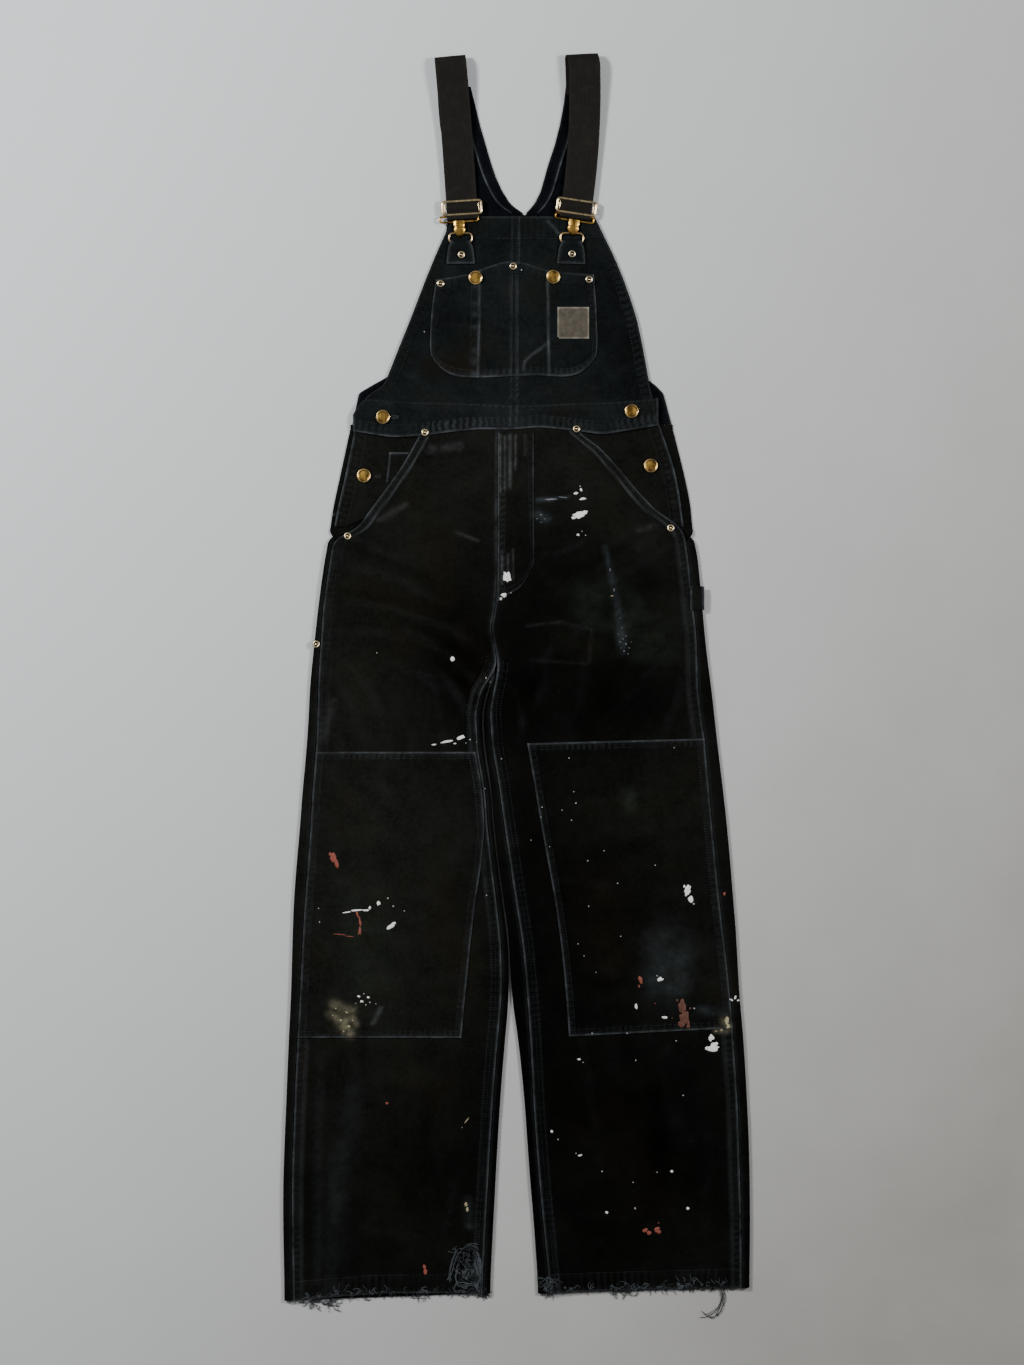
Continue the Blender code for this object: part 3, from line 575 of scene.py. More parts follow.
def along_edge(panel, side):
    """How far along an edge the nearest point of that edge lies."""
    edge = {"left": (slice(None), 0), "right": (slice(None), -1), "low": (0,), "high": (-1,)}[side]
    x, y = panel.across[edge], panel.up[edge]
    run = run_of(np.stack([x, y], 1))
    on = panel.on[side].copy()
    close = panel.off[side] < RUNG_REACH
    gaps = (panel.across[close][:, None] - x) ** 2 + (panel.up[close][:, None] - y) ** 2
    on[close] = run[gaps.argmin(1)]
    return on


def edge_form(panel, side, turned, thick, rows, pucker, seed, roll=0.7, worn=1.0, rungs=0.05):
    """Shapes one edge: rolled over, thicker where it is turned under, sunk at its rows of
    stitches, puckered into rungs between them with painted shade in their troughs, and rubbed
    pale along its ridge."""
    off, on = panel.off[side], along_edge(panel, side)
    uneven = ripple(on, 17, seed) * 0.5 + ripple(on, 6.5, seed + 1) * 0.5
    panel.high -= roll * bell(off, 0, ROLL_REACH)
    if turned:
        lip = ease(off, turned + 1.6, turned - 0.8)
        panel.high += thick * lip
        panel.high -= GROOVE * bell(off - turned, *GROOVE_AT)
    for row in rows:
        near = bell(off, row, ROW_REACH)
        panel.high -= ROW_SINK * near
        panel.fade -= ROW_DARK * near
    if rows:
        inner, outer = rows[-1], rows[0] if len(rows) > 1 else 0.0
        between = ease(off, outer - 0.5, outer + 1.5) * ease(off, inner + 1.6, inner - 0.4)
        bars = 0.5 + 0.5 * np.cos(2 * np.pi * (on / RUNG + 0.35 * ripple(on, 23, seed + 2)))
        strength = np.clip(0.55 + 0.75 * ripple(on, 40, seed + 3), 0.05, 1.2)
        panel.high += pucker * between * strength * (bars - 0.5)
        panel.wear += rungs * between * strength * bars**1.6
        # Painted shade in the troughs between the rungs. Their crests are rubbed pale.
        panel.fade -= 0.14 * between * strength * (1 - bars) ** 3
        beyond = bell(off - inner, 3.0, 2.6)
        panel.high += 0.4 * pucker * beyond * strength * (bars - 0.5)
    ridge = bell(off, *RIDGE)
    panel.wear += worn * ridge * np.clip(0.58 + 0.5 * uneven, 0, 1)
    panel.wear += worn * 0.03 * fading(off, 5.0) * (1 + uneven)


CREASE_WEAR = 0.018
# How high above the blurred cloth a ridge has to stand to be rubbed, and how pale it gets.
RUB_BLUR = 2.2
RUB_HEIGHT = 0.35
RUB_WEAR = 0.035


def rub(panel):
    """Rubs a panel's ridges pale, not its hollows, and paints shade into the troughs of its creases."""
    crest = creases(panel.across, panel.up)
    streaky = np.clip(0.6 + 0.9 * noise(panel.across, panel.up * 2.6, 13, 55), 0, 1.6)
    panel.wear += CREASE_WEAR * np.clip(crest - 0.45, 0, 1.4) * streaky
    # Painted shade in the troughs of the creases.
    panel.fade -= 0.10 * np.clip(-crest, 0, 1.5)
    broad = blur(panel.high, RUB_BLUR)
    panel.wear += RUB_WEAR * np.clip((panel.high - broad) / RUB_HEIGHT, -0.5, 1)


def add_values(data, name, values):
    """Keeps a value for each point on a mesh, for its finish to read."""
    layer = data.attributes.new(name, "FLOAT", "POINT")
    layer.data.foreach_set("value", values.ravel().astype(np.float32))


def add_looks(data, across, up, wear, fade):
    """Keeps the wear, the fading with its painted shade, and the stains of a piece of cloth."""
    add_values(data, "wear", wear)
    add_values(data, "fade", fade)
    colours = data.attributes.new("stain", "FLOAT_COLOR", "POINT")
    colours.data.foreach_set("color", stains(across, up).ravel().astype(np.float32))


def link(name, data, material):
    """Makes a piece of the garment, which moves with its one body."""
    piece = bpy.data.objects.new(name, data)
    bpy.context.scene.collection.objects.link(piece)
    data.materials.append(material)
    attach(piece, "root")
    return piece


def mesh_data(name, mesh):
    """Ends a mesh that is being made, and shades it smooth."""
    data = bpy.data.meshes.new(name)
    mesh.to_mesh(data)
    mesh.free()
    data.shade_smooth()
    return data


def grid_mesh(name, across, up, high, faces_up=True):
    """A grid of points in millimetres as a mesh in metres."""
    tall, wide = across.shape
    mesh = bmesh.new()
    bmesh.ops.create_grid(mesh, x_segments=wide - 1, y_segments=tall - 1, size=1.0)
    if not faces_up:
        bmesh.ops.reverse_faces(mesh, faces=mesh.faces)
    data = mesh_data(name, mesh)
    flat = np.stack([across, up - HALF_LENGTH, high], 2).reshape(-1, 3) * MM
    data.vertices.foreach_set("co", flat.ravel())
    data.update()
    return data


def wall(piece, thickness, offset=-1.0):
    """Gives a sheet its thickness: below it, or on both sides where offset is 0."""
    solid = piece.modifiers.new("wall", "SOLIDIFY")
    solid.thickness = thickness * MM
    solid.offset = offset
    solid.use_rim = True
    return piece


# All the cloth, for what lies on it.
dressed = []
# A sheet's area is at least this share of the rectangle round it, and the rectangle is at least
# this wide and long.
LEAST_AREA = 0.305
LEAST_SIDE = 10.0


def build(panel, name, material, thickness=CLOTH, cut=None):
    """Makes a panel a piece of cloth in place of its solid."""
    data = grid_mesh(name, panel.across, panel.up, panel.high)
    add_looks(data, panel.across, panel.up, panel.wear, panel.fade)
    if cut is not None:
        mesh = bmesh.new()
        mesh.from_mesh(data)
        lost = [face for face in mesh.faces if cut(face.calc_center_median())]
        bmesh.ops.delete(mesh, geom=lost, context="FACES")
        mesh.to_mesh(data)
        mesh.free()
    piece = wall(link(name, data, material), thickness)
    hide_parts(panel.node)
    wide = max(panel.off["left"].max(), LEAST_SIDE)
    tall = max(panel.off["low"].max(), LEAST_SIDE)
    step_u, step_v = np.diff(panel.across, axis=1)[:-1], np.diff(panel.up, axis=0)[:, :-1]
    skew_u, skew_v = np.diff(panel.up, axis=1)[:-1], np.diff(panel.across, axis=0)[:, :-1]
    area = float(np.abs(step_u * step_v - skew_u * skew_v).sum())
    area = min(max(area, LEAST_AREA * wide * tall), wide * tall)
    dressed.append(piece)


def surface_tree():
    """A tree of all the dressed cloth, for what lies on it."""
    points, faces = [], []
    graph = bpy.context.evaluated_depsgraph_get()
    for piece in dressed:
        data = piece.evaluated_get(graph).data
        start = len(points)
        points.extend(vertex.co[:] for vertex in data.vertices)
        faces.extend([start + i for i in polygon.vertices] for polygon in data.polygons)
    return BVHTree.FromPolygons(points, faces)


def top_at(tree, across, up, otherwise=2.0):
    """The height of the cloth at a place, in millimetres."""
    spot = Vector((across * MM, (up - HALF_LENGTH) * MM, ABOVE_CLOTH))
    hit = tree.ray_cast(spot, DOWN)[0]
    return otherwise if hit is None else hit.z / MM


def tiled(name, base, places, material):
    """Many copies of one small mesh as one piece. places are (n, 4, 4) in metres."""
    points = np.array([vertex.co[:] + (1.0,) for vertex in base.verts])
    data = mesh_data("base", base)
    mesh = bmesh.new()
    mesh.from_mesh(data)
    bpy.data.meshes.remove(data)
    wanted = len(points) * len(places)
    while len(mesh.verts) < wanted:
        bmesh.ops.duplicate(mesh, geom=mesh.verts[:] + mesh.edges[:] + mesh.faces[:])
    bmesh.ops.delete(mesh, geom=mesh.verts[:][wanted:], context="VERTS")
    data = mesh_data(name, mesh)
    moved = np.einsum("nij,vj->nvi", places, points)[..., :3]
    data.vertices.foreach_set("co", moved.ravel())
    data.update()
    piece = link(name, data, material)
    return piece


def tube(mesh, route, radius, sides=8, flat=1.0, closed=False):
    """Adds a round bar or thread along a route. A radius of 0 closes an end to a point."""
    route = np.array(route, float)
    radius = np.broadcast_to(np.asarray(radius, float), len(route))
    if closed:
        route = np.vstack([route, route[:1]])
        radius = np.append(radius, radius[0])
    tangent = np.gradient(route, axis=0)
    if closed:
        tangent[[0, -1]] = route[1] - route[-2]
    tangent /= np.maximum(np.linalg.norm(tangent, axis=1), 1e-9)[:, None]
    side = np.cross(tangent, (0.0, 0.0, 1.0))
    side /= np.maximum(np.linalg.norm(side, axis=1), 1e-9)[:, None]
    over = np.cross(side, tangent)
    turn = np.linspace(0, 2 * np.pi, sides + 1)[None, :, None]
    ring = np.cos(turn) * side[:, None] + flat * np.sin(turn) * over[:, None]
    points = route[:, None] + radius[:, None, None] * ring
    made = bmesh.ops.create_grid(mesh, x_segments=sides, y_segments=len(route) - 1, size=1.0)
    points = (points.reshape(-1, 3) - (0, HALF_LENGTH, 0)) * MM
    for vertex, point in zip(made["verts"], points):
        vertex.co = point


# Points of a tube's seam that lie nearer than this, in metres, become one.
WELD = 2e-6


def closed_piece(name, mesh, material):
    """Welds the seams and ends of tubes, and makes them one piece."""
    bmesh.ops.remove_doubles(mesh, verts=mesh.verts, dist=WELD)
    bmesh.ops.recalc_face_normals(mesh, faces=mesh.faces)
    piece = link(name, mesh_data(name, mesh), material)
    return piece


def smooth_route(points, step):
    """Points at an even step along a soft curve through a few points."""
    points = np.array(points, float)
    ends = np.vstack([2 * points[0] - points[1], points, 2 * points[-1] - points[-2]])
    curve = []
    for a, b, c, d in zip(ends, ends[1:], ends[2:], ends[3:]):
        count = max(int(np.linalg.norm(c - b) / step), 1)
        t = np.linspace(0, 1, count, endpoint=False)[:, None]
        square, cube = 2 * a - 5 * b + 4 * c - d, 3 * b - a - 3 * c + d
        curve.append(0.5 * (2 * b + (c - a) * t + square * t**2 + cube * t**3))
    return np.vstack([*curve, points[-1:]])


def rounded(wide, tall, corner, steps=6):
    """A rectangle with round corners about its middle, as (n, 2)."""
    points = []
    for number, (x, y) in enumerate(((1, 1), (-1, 1), (-1, -1), (1, -1))):
        turn = np.linspace(0, np.pi / 2, steps) + number * np.pi / 2
        middle = np.array([x * (wide / 2 - corner), y * (tall / 2 - corner)])
        points.extend(middle + corner * np.stack([np.cos(turn), np.sin(turn)], 1))
    return np.array(points)


def route_distance(panel, route):
    """How far each point of a panel is to the right of a route, how far from it, and how far
    along it."""
    best = np.full(panel.across.shape, 1e9)
    side = np.zeros_like(best)
    along = np.zeros_like(best)
    gone = 0.0
    for start, end in zip(route, route[1:]):
        start, run = np.array(start), np.array(end) - start
        length = np.linalg.norm(run)
        x, y = panel.across - start[0], panel.up - start[1]
        share = np.clip((x * run[0] + y * run[1]) / length**2, 0, 1)
        far = np.hypot(x - share * run[0], y - share * run[1])
        nearer = far < best
        best[nearer] = far[nearer]
        side[nearer] = np.sign(x * run[1] - y * run[0])[nearer] * far[nearer]
        along[nearer] = (gone + share * length)[nearer]
        gone += length
    return side, best, along


def seam_on(panel, route, high, wide, wear, seed, step=0.0, pucker=0.0):
    """A line on a panel: a rubbed ridge, and a step up to the right where a layer ends there."""
    side, far, on = route_distance(panel, route)
    uneven = 0.75 + 0.35 * ripple(on, 11, seed)
    panel.high += high * bell(far, 0, wide)
    panel.wear += wear * bell(far, 0, wide) * uneven
    if step:
        panel.high += step * ease(side, -0.8, 0.8) * ease(far, 60, 40)
    if pucker:
        swell = bell(side, 5.0, 4.0)
        waves = ripple(on, 7.0, seed + 3)
        panel.high += pucker * swell * waves
        panel.wear += 0.30 * swell * np.clip(waves, 0, 1)


# Finishes

# Where a mix node keeps its two colours and its result.
MIX_COLOURS = (6, 7)
MIX_RESULT = 2


def new_material(name, roughness, specular=0.5, metallic=0.0):
    material = bpy.data.materials.new(name)
    material.use_nodes = True
    shader = material.node_tree.nodes["Principled BSDF"]
    shader.inputs["Roughness"].default_value = roughness
    shader.inputs["Specular IOR Level"].default_value = specular
    shader.inputs["Metallic"].default_value = metallic
    return material, material.node_tree, shader


class Nodes:
    """Short calls for the nodes that the finishes share."""

    def __init__(self, tree):
        self.tree = tree
        self.coordinates = tree.nodes.new("ShaderNodeTexCoord").outputs["Object"]

    def join(self, output, socket):
        self.tree.links.new(output, socket)

    def value(self, name, output="Fac"):
        node = self.tree.nodes.new("ShaderNodeAttribute")
        node.attribute_name = name
        return node.outputs[output]

    def noise(self, scale, detail=3.0, roughness=0.55, stretch=None):
        node = self.tree.nodes.new("ShaderNodeTexNoise")
        node.inputs["Scale"].default_value = scale
        node.inputs["Detail"].default_value = detail
        node.inputs["Roughness"].default_value = roughness
        self.join(self.mapped(stretch) if stretch else self.coordinates, node.inputs["Vector"])
        return node.outputs["Fac"]

    def mapped(self, stretch=(1.0, 1.0, 1.0), turn=0.0):
        node = self.tree.nodes.new("ShaderNodeMapping")
        node.inputs["Scale"].default_value = stretch
        node.inputs["Rotation"].default_value = (0.0, 0.0, turn)
        self.join(self.coordinates, node.inputs["Vector"])
        return node.outputs["Vector"]

    def waves(self, scale, direction):
        node = self.tree.nodes.new("ShaderNodeTexWave")
        node.bands_direction = direction
        node.inputs["Scale"].default_value = scale
        node.inputs["Distortion"].default_value = 1.2
        node.inputs["Detail"].default_value = 1.0
        self.join(self.coordinates, node.inputs["Vector"])
        return node.outputs["Fac"]

    def specks(self, scale, size):
        """Small round specks: 1 in the middle of some cells, 0 between them."""
        node = self.tree.nodes.new("ShaderNodeTexVoronoi")
        node.inputs["Scale"].default_value = scale
        self.join(self.coordinates, node.inputs["Vector"])
        return self.ramp(node.outputs["Distance"], 0.0, size, 1.0, 0.0)

    def ramp(self, value, low, high, first=0.0, last=1.0):
        node = self.tree.nodes.new("ShaderNodeMapRange")
        for name, number in zip(("From Min", "From Max", "To Min", "To Max"), (low, high, first, last)):
            node.inputs[name].default_value = number
        self.join(value, node.inputs["Value"])
        return node.outputs["Result"]

    def math(self, operation, first, second):
        node = self.tree.nodes.new("ShaderNodeMath")
        node.operation = operation
        for socket, value in zip(node.inputs, (first, second)):
            if isinstance(value, (int, float)):
                socket.default_value = value
            else:
                self.join(value, socket)
        return node.outputs[0]

    def mix(self, factor, first, second):
        node = self.tree.nodes.new("ShaderNodeMix")
        node.data_type = "RGBA"
        sockets = (node.inputs["Factor"], *(node.inputs[number] for number in MIX_COLOURS))
        for socket, value in zip(sockets, (factor, first, second)):
            if isinstance(value, tuple):
                socket.default_value = (*value, 1.0)
            elif isinstance(value, (int, float)):
                socket.default_value = value
            else:
                self.join(value, socket)
        return node.outputs[MIX_RESULT]

    def bump(self, height, distance, strength, before=None):
        node = self.tree.nodes.new("ShaderNodeBump")
        node.inputs["Distance"].default_value = distance
        node.inputs["Strength"].default_value = strength
        self.join(height, node.inputs["Height"])
        if before is not None:
            self.join(before, node.inputs["Normal"])
        return node.outputs["Normal"]


def canvas_finish(name, cloth, worn, lint=0.5):
    """Washed black duck canvas: woven, stained, rubbed pale on its ridges, specked with lint."""
    material, tree, shader = new_material(name, 0.85, specular=0.02)
    node = Nodes(tree)
    mottle = node.ramp(node.noise(34.0, 5.0, 0.66), 0.36, 0.66)
    cloudy = node.ramp(node.noise(9.0, 4.0, 0.6), 0.38, 0.64)
    fine = node.ramp(node.noise(210.0, 4.0, 0.7), 0.38, 0.66)
    grain = node.ramp(node.noise(420.0, 2.0, 0.7), 0.3, 0.75)
    dirt = node.ramp(node.noise(13.0, 5.0, 0.65, stretch=(1.0, 1.3, 1.0)), 0.50, 0.66)
    plain, paler, darker = (tuple(share * c for c in cloth) for share in (1.6, 4.2, 0.6))
    browner = (2.6 * cloth[0], 1.9 * cloth[1], 0.9 * cloth[2])
    base = node.mix(node.math("MULTIPLY", mottle, 0.6), plain, paler)
    base = node.mix(node.math("MULTIPLY", cloudy, 0.52), base, darker)
    base = node.mix(node.math("MULTIPLY", dirt, 0.45), base, browner)
    base = node.mix(node.math("MULTIPLY", fine, 0.40), base, paler)
    # This darkening mixes faded and blacker cloth with painted shade: in the crease troughs, between the
    # puckers, in the crotch and towards the lower right.
    base = node.mix(node.value("fade"), (0.0, 0.0, 0.0), base)
    spotted = node.ramp(node.noise(70.0, 5.0, 0.7), 0.30, 0.62, 0.25, 1.0)
    stained = node.math("MULTIPLY", node.value("stain", "Alpha"), spotted)
    base = node.mix(stained, base, node.value("stain", "Color"))
    rubbed = node.math("MULTIPLY", node.value("wear"), node.ramp(grain, 0.0, 1.0, 0.55, 1.25))
    rubbed = node.math("MULTIPLY", rubbed, node.ramp(mottle, 0.0, 1.0, 0.6, 1.15))
    base = node.mix(node.ramp(rubbed, 0.0, 1.0), base, worn)
    flecks = node.math("MULTIPLY", node.specks(150.0, 0.10), node.ramp(node.noise(24.0, 2.0), 0.52, 0.72))
    base = node.mix(node.math("MULTIPLY", flecks, lint), base, worn)
    node.join(base, shader.inputs["Base Color"])
    weave = node.math("MULTIPLY", node.waves(260.0, "X"), node.waves(260.0, "Y"))
    normal = node.bump(weave, 0.00025, 0.35)
    normal = node.bump(node.noise(140.0, 4.0, 0.65), 0.0007, 0.35, normal)
    node.join(normal, shader.inputs["Normal"])
    return material


LEG_CLOTH = (0.0048, 0.0052, 0.0043)
BIB_CLOTH = (0.0046, 0.0057, 0.0058)
INNER_CLOTH = (0.0020, 0.0024, 0.0036)
WORN_CLOTH = (0.072, 0.080, 0.086)
leg_canvas = canvas_finish("leg canvas", LEG_CLOTH, WORN_CLOTH)
bib_canvas = canvas_finish("bib canvas", BIB_CLOTH, WORN_CLOTH, 0.3)
inner_canvas = canvas_finish("inner canvas", INNER_CLOTH, WORN_CLOTH, 0.2)


def elastic_finish():
    """Brown-black elastic, ribbed along its length."""
    material, tree, shader = new_material("elastic", 0.75, specular=0.05)
    node = Nodes(tree)
    ribs = node.ramp(node.value("rib"), 0.2, 0.8)
    base = node.mix(ribs, (0.0052, 0.0049, 0.0043), (0.0150, 0.0136, 0.0118))
    pale = node.ramp(node.noise(90.0, 4.0, 0.7), 0.45, 0.8)
    base = node.mix(node.math("MULTIPLY", pale, 0.35), base, (0.028, 0.024, 0.019))
    node.join(base, shader.inputs["Base Color"])
    node.join(node.bump(node.noise(700.0, 2.0), 0.0003, 0.4), shader.inputs["Normal"])
    return material


def brass_finish():
    """Worn brass, brown in its hollows, scratched bright, and paler where a highlight is painted on."""
    material, tree, shader = new_material("worn brass", 0.3, metallic=1.0)
    node = Nodes(tree)
    patchy = node.ramp(node.noise(150.0, 4.0, 0.6, stretch=(1.0, 0.45, 1.0)), 0.44, 0.60)
    base = node.mix(patchy, (0.66, 0.40, 0.095), (0.20, 0.095, 0.018))
    base = node.mix(node.value("dull"), base, (0.045, 0.026, 0.012))
    # The pale value paints a highlight into the colour of the brass.
    base = node.mix(node.value("pale"), base, (0.80, 0.72, 0.50))
    node.join(base, shader.inputs["Base Color"])
    scratches = node.noise(240.0, 3.0, 0.6, stretch=(1.0, 0.12, 1.0))
    node.join(node.ramp(scratches, 0.3, 0.8, 0.20, 0.42), shader.inputs["Roughness"])
    node.join(node.bump(scratches, 0.0002, 0.25), shader.inputs["Normal"])
    return material


def thread_finish(name, dark, pale):
    """Cotton thread, paler in places."""
    material, tree, shader = new_material(name, 0.8, specular=0.2)
    node = Nodes(tree)
    base = node.mix(node.ramp(node.noise(60.0, 3.0, 0.7), 0.35, 0.75), dark, pale)
    node.join(base, shader.inputs["Base Color"])
    node.join(node.bump(node.noise(900.0, 1.0), 0.0002, 0.3), shader.inputs["Normal"])
    return material


def paint_finish(name, colour, thin):
    """Dried paint, thinner and dirtier in places, over the weave of the cloth."""
    material, tree, shader = new_material(name, 0.55, specular=0.35)
    node = Nodes(tree)
    patchy = node.ramp(node.noise(260.0, 4.0, 0.7), 0.35, 0.70)
    node.join(node.mix(patchy, colour, thin), shader.inputs["Base Color"])
    node.join(node.bump(node.noise(600.0, 3.0, 0.6), 0.0004, 0.5), shader.inputs["Normal"])
    return material


def label_finish():
    """A bare woven label, grey and rubbed, with a pale sewn edge."""
    material, tree, shader = new_material("bare label", 0.7, specular=0.2)
    node = Nodes(tree)
    cloudy = node.ramp(node.noise(120.0, 5.0, 0.7), 0.3, 0.7)
    base = node.mix(cloudy, (0.040, 0.035, 0.027), (0.095, 0.080, 0.058))
    base = node.mix(node.ramp(node.value("wear"), 0.2, 1.0), base, (0.210, 0.190, 0.155))
    node.join(base, shader.inputs["Base Color"])
    threads = node.math("MULTIPLY", node.waves(700.0, "X"), node.waves(700.0, "Y"))
    node.join(node.bump(threads, 0.0003, 0.5), shader.inputs["Normal"])
    return material


elastic = elastic_finish()
brass = brass_finish()
black_thread = thread_finish("black thread", (0.008, 0.009, 0.010), (0.050, 0.056, 0.062))
frayed_thread = thread_finish("frayed thread", (0.012, 0.015, 0.017), (0.090, 0.105, 0.115))
white_paint = paint_finish("white paint", (0.86, 0.86, 0.84), (0.52, 0.52, 0.50))
speck_paint = paint_finish("thin white paint", (0.46, 0.46, 0.45), (0.15, 0.15, 0.15))
red_paint = paint_finish("red paint", (0.250, 0.056, 0.034), (0.130, 0.036, 0.024))
rust_paint = paint_finish("rust paint", (0.100, 0.030, 0.016), (0.046, 0.018, 0.011))
cream_paint = paint_finish("cream paint", (0.400, 0.350, 0.200), (0.160, 0.140, 0.090))
grey_paint = paint_finish("grey paint", (0.150, 0.155, 0.190), (0.060, 0.062, 0.075))
bare_label = label_finish()

# Cloth panels: each one's corners (low left, low right, high right, high left) as across, up.
CORNERS = {
    "front_leg_r": ((-268, 0), (-41, 8), (-23, 1058), (-106, 1058)),
    "front_leg_l": ((41, 8), (270, 16), (68, 1058), (-22.6, 1058)),
    "knee_panel_r": ((-262, 315), (-66, 315), (-49, 658), (-240, 658)),
    "knee_panel_l": ((63, 313), (260, 326), (227, 674), (13, 666)),
    "hip_facing_r": ((-219, 928), (-204, 928), (-92, 1058), (-191, 1058)),
    "hip_facing_l": ((186, 928), (200, 928), (169, 1058), (54, 1058)),
    "coin_pocket": ((-157, 981), (-151, 981), (-129, 1017), (-153, 1017)),
    "fly": ((-22.6, 838), (21, 884), (21, 1040), (-22.6, 1040)),
    "bib_front": ((-188, 1062), (168, 1062), (93, 1300), (-74, 1300)),
    "bib_pocket": ((-105, 1132), (98, 1132), (93, 1230), (-97, 1224)),
    "waistband": ((-196, 1042), (170, 1049), (170, 1082), (-196, 1062)),
    "neck_facing_r": ((-9.6, 1304), (5.6, 1304), (-44, 1410), (-59, 1410)),
    "neck_facing_l": ((14, 1304), (29, 1304), (67, 1410), (52, 1410)),
    "label_patch": ((49, 1153), (87, 1153), (87, 1191), (49, 1191)),
    "hammer_loop": ((208, 828), (225, 828), (225, 856), (208, 856)),
}
panels = {}
seams = []


def sew(panel, side, rows, inset=2.0, below=1e9):
    """Remembers rows of stitches along an edge of a panel, up to a height on the garment."""
    for row in rows:
        line = panel.line(side, row, inset)[:, :2]
        seams.append(line[line[:, 1] < below])


def sew_route(*points):
    """Remembers a row of stitches along a route on the cloth."""
    seams.append(smooth_route(points, 4.0))


def cut_panel(node, across_step, along_step, **settings):
    """A panel on its solid, with the relief that all the cloth shares."""
    panel = Panel(node, CORNERS[node], (across_step, along_step), **settings)
    panel.high += relief(panel.across, panel.up)
    panels[node] = panel
    return panel


HOLE_MIDDLE = (-60.5, 45.0)
HOLE_SIZE = (8.5, 15.5)


def in_hole(middle):
    """The worn-through hole above the right hem, with a ragged edge."""
    x = middle.x / MM - HOLE_MIDDLE[0]
    y = middle.y / MM + HALF_LENGTH - HOLE_MIDDLE[1]
    turn = math.atan2(y / HOLE_SIZE[1], x / HOLE_SIZE[0])
    ragged = 1 + 0.14 * math.sin(3 * turn + 1) + 0.10 * math.sin(7 * turn)
    return (x / HOLE_SIZE[0]) ** 2 + (y / HOLE_SIZE[1]) ** 2 < ragged


INSEAM_TOP = 770.0

# The legs' fronts
for letter, outer, inner in (("r", "left", "right"), ("l", "right", "left")):
    leg = cut_panel(f"front_leg_{letter}", 4.0, 2.3)
    edge_form(leg, outer, 9.0, 0.35, (2.2, 9.6), 0.3, seed=11)
    kept = leg.keep()
    edge_form(leg, inner, 12.0, 0.3, (2.2, 7.4, 12.6), 0.2, seed=21, worn=0.7, rungs=0.02)
    leg.limit(kept, ease(leg.up, INSEAM_TOP + 12, INSEAM_TOP - 12))
    edge_form(leg, inner, 0, 0, (), 0.35, seed=23, roll=0.4, worn=0.5)
    edge_form(leg, "low", 24.0, 0.9, (22.5,), 0.25, seed=31, worn=0.6, rungs=0.02)
    mouth = ease(leg.up, 912, 925)
    leg.wear += 0.55 * mouth * bell(leg.off[outer], 11.0, 1.3)
    leg.high += 0.2 * mouth * bell(leg.off[outer], 6.5, 4.5)
    leg.fade -= 0.14 * mouth * bell(leg.off[outer], 6.0, 3.0)
    leg.fade -= 0.10 * mouth * bell(leg.off[outer], 15.0, 2.5)
    leg.wear += 0.16 * (1 - mouth) * bell(leg.off[outer], 11.5, 1.4)
    leg.wear += 0.18 * bell(leg.off[inner], 10.0, 1.4) * ease(leg.up, 760, 730)
    rub(leg)
    sew(leg, outer, (2.2, 9.6))
    sew(leg, inner, (2.2, 7.4, 12.6), below=INSEAM_TOP)
    sew(leg, "low", (22.5,))
    cut = in_hole if letter == "r" else None
    build(leg, f"leg_front_{letter}", leg_canvas, cut=cut)

    knee = cut_panel(f"knee_panel_{letter}", 3.4, 2.4)
    edge_form(knee, outer, 9.0, 0.35, (2.2, 8.4), 0.3, seed=41)
    edge_form(knee, inner, 9.0, 0.5, (2.0, 8.0), 0.3, seed=51, rungs=0.03)
    edge_form(knee, "high", 10.0, 0.5, (2.0, 8.0), 0.40, seed=61, rungs=0.10)
    edge_form(knee, "low", 10.0, 0.5, (2.0, 8.0), 0.3, seed=71, rungs=0.04)
    rub(knee)
    for side in (outer, inner, "high", "low"):
        sew(knee, side, (2.0, 8.0))
    build(knee, f"knee_{letter}", leg_canvas)

    facing = cut_panel(f"hip_facing_{letter}", 3.0, 2.4)
    edge_form(facing, outer, 16.0, 0.5, (4.5, 12.0), 0.35, seed=81, rungs=0.10)
    sew(facing, outer, (2.2, 15.0))
    build(facing, f"hip_{letter}", leg_canvas)

fly = cut_panel("fly", 1.8, 2.2)
edge_form(fly, "left", 10.0, 0.3, (2.0, 9.5), 0.6, seed=91, rungs=0.30)
edge_form(fly, "right", 0, 0, (1.5, 7.5), 0.35, seed=93, roll=0.4, worn=0.5)
edge_form(fly, "low", 0, 0, (1.5, 7.5), 0.3, seed=95, roll=0.4, worn=0.5)
sew(fly, "left", (2.0, 9.5))
sew(fly, "right", (1.5, 7.5))
sew(fly, "low", (1.5, 7.5))
build(fly, "fly_front", leg_canvas, 1.2)

coin = cut_panel("coin_pocket", 2.0, 2.0)
edge_form(coin, "high", 6.0, 0.3, (5.0,), 0.2, seed=97)
edge_form(coin, "left", 0, 0, (1.5,), 0.2, seed=98)
build(coin, "coin_pocket_cloth", leg_canvas, 1.0)

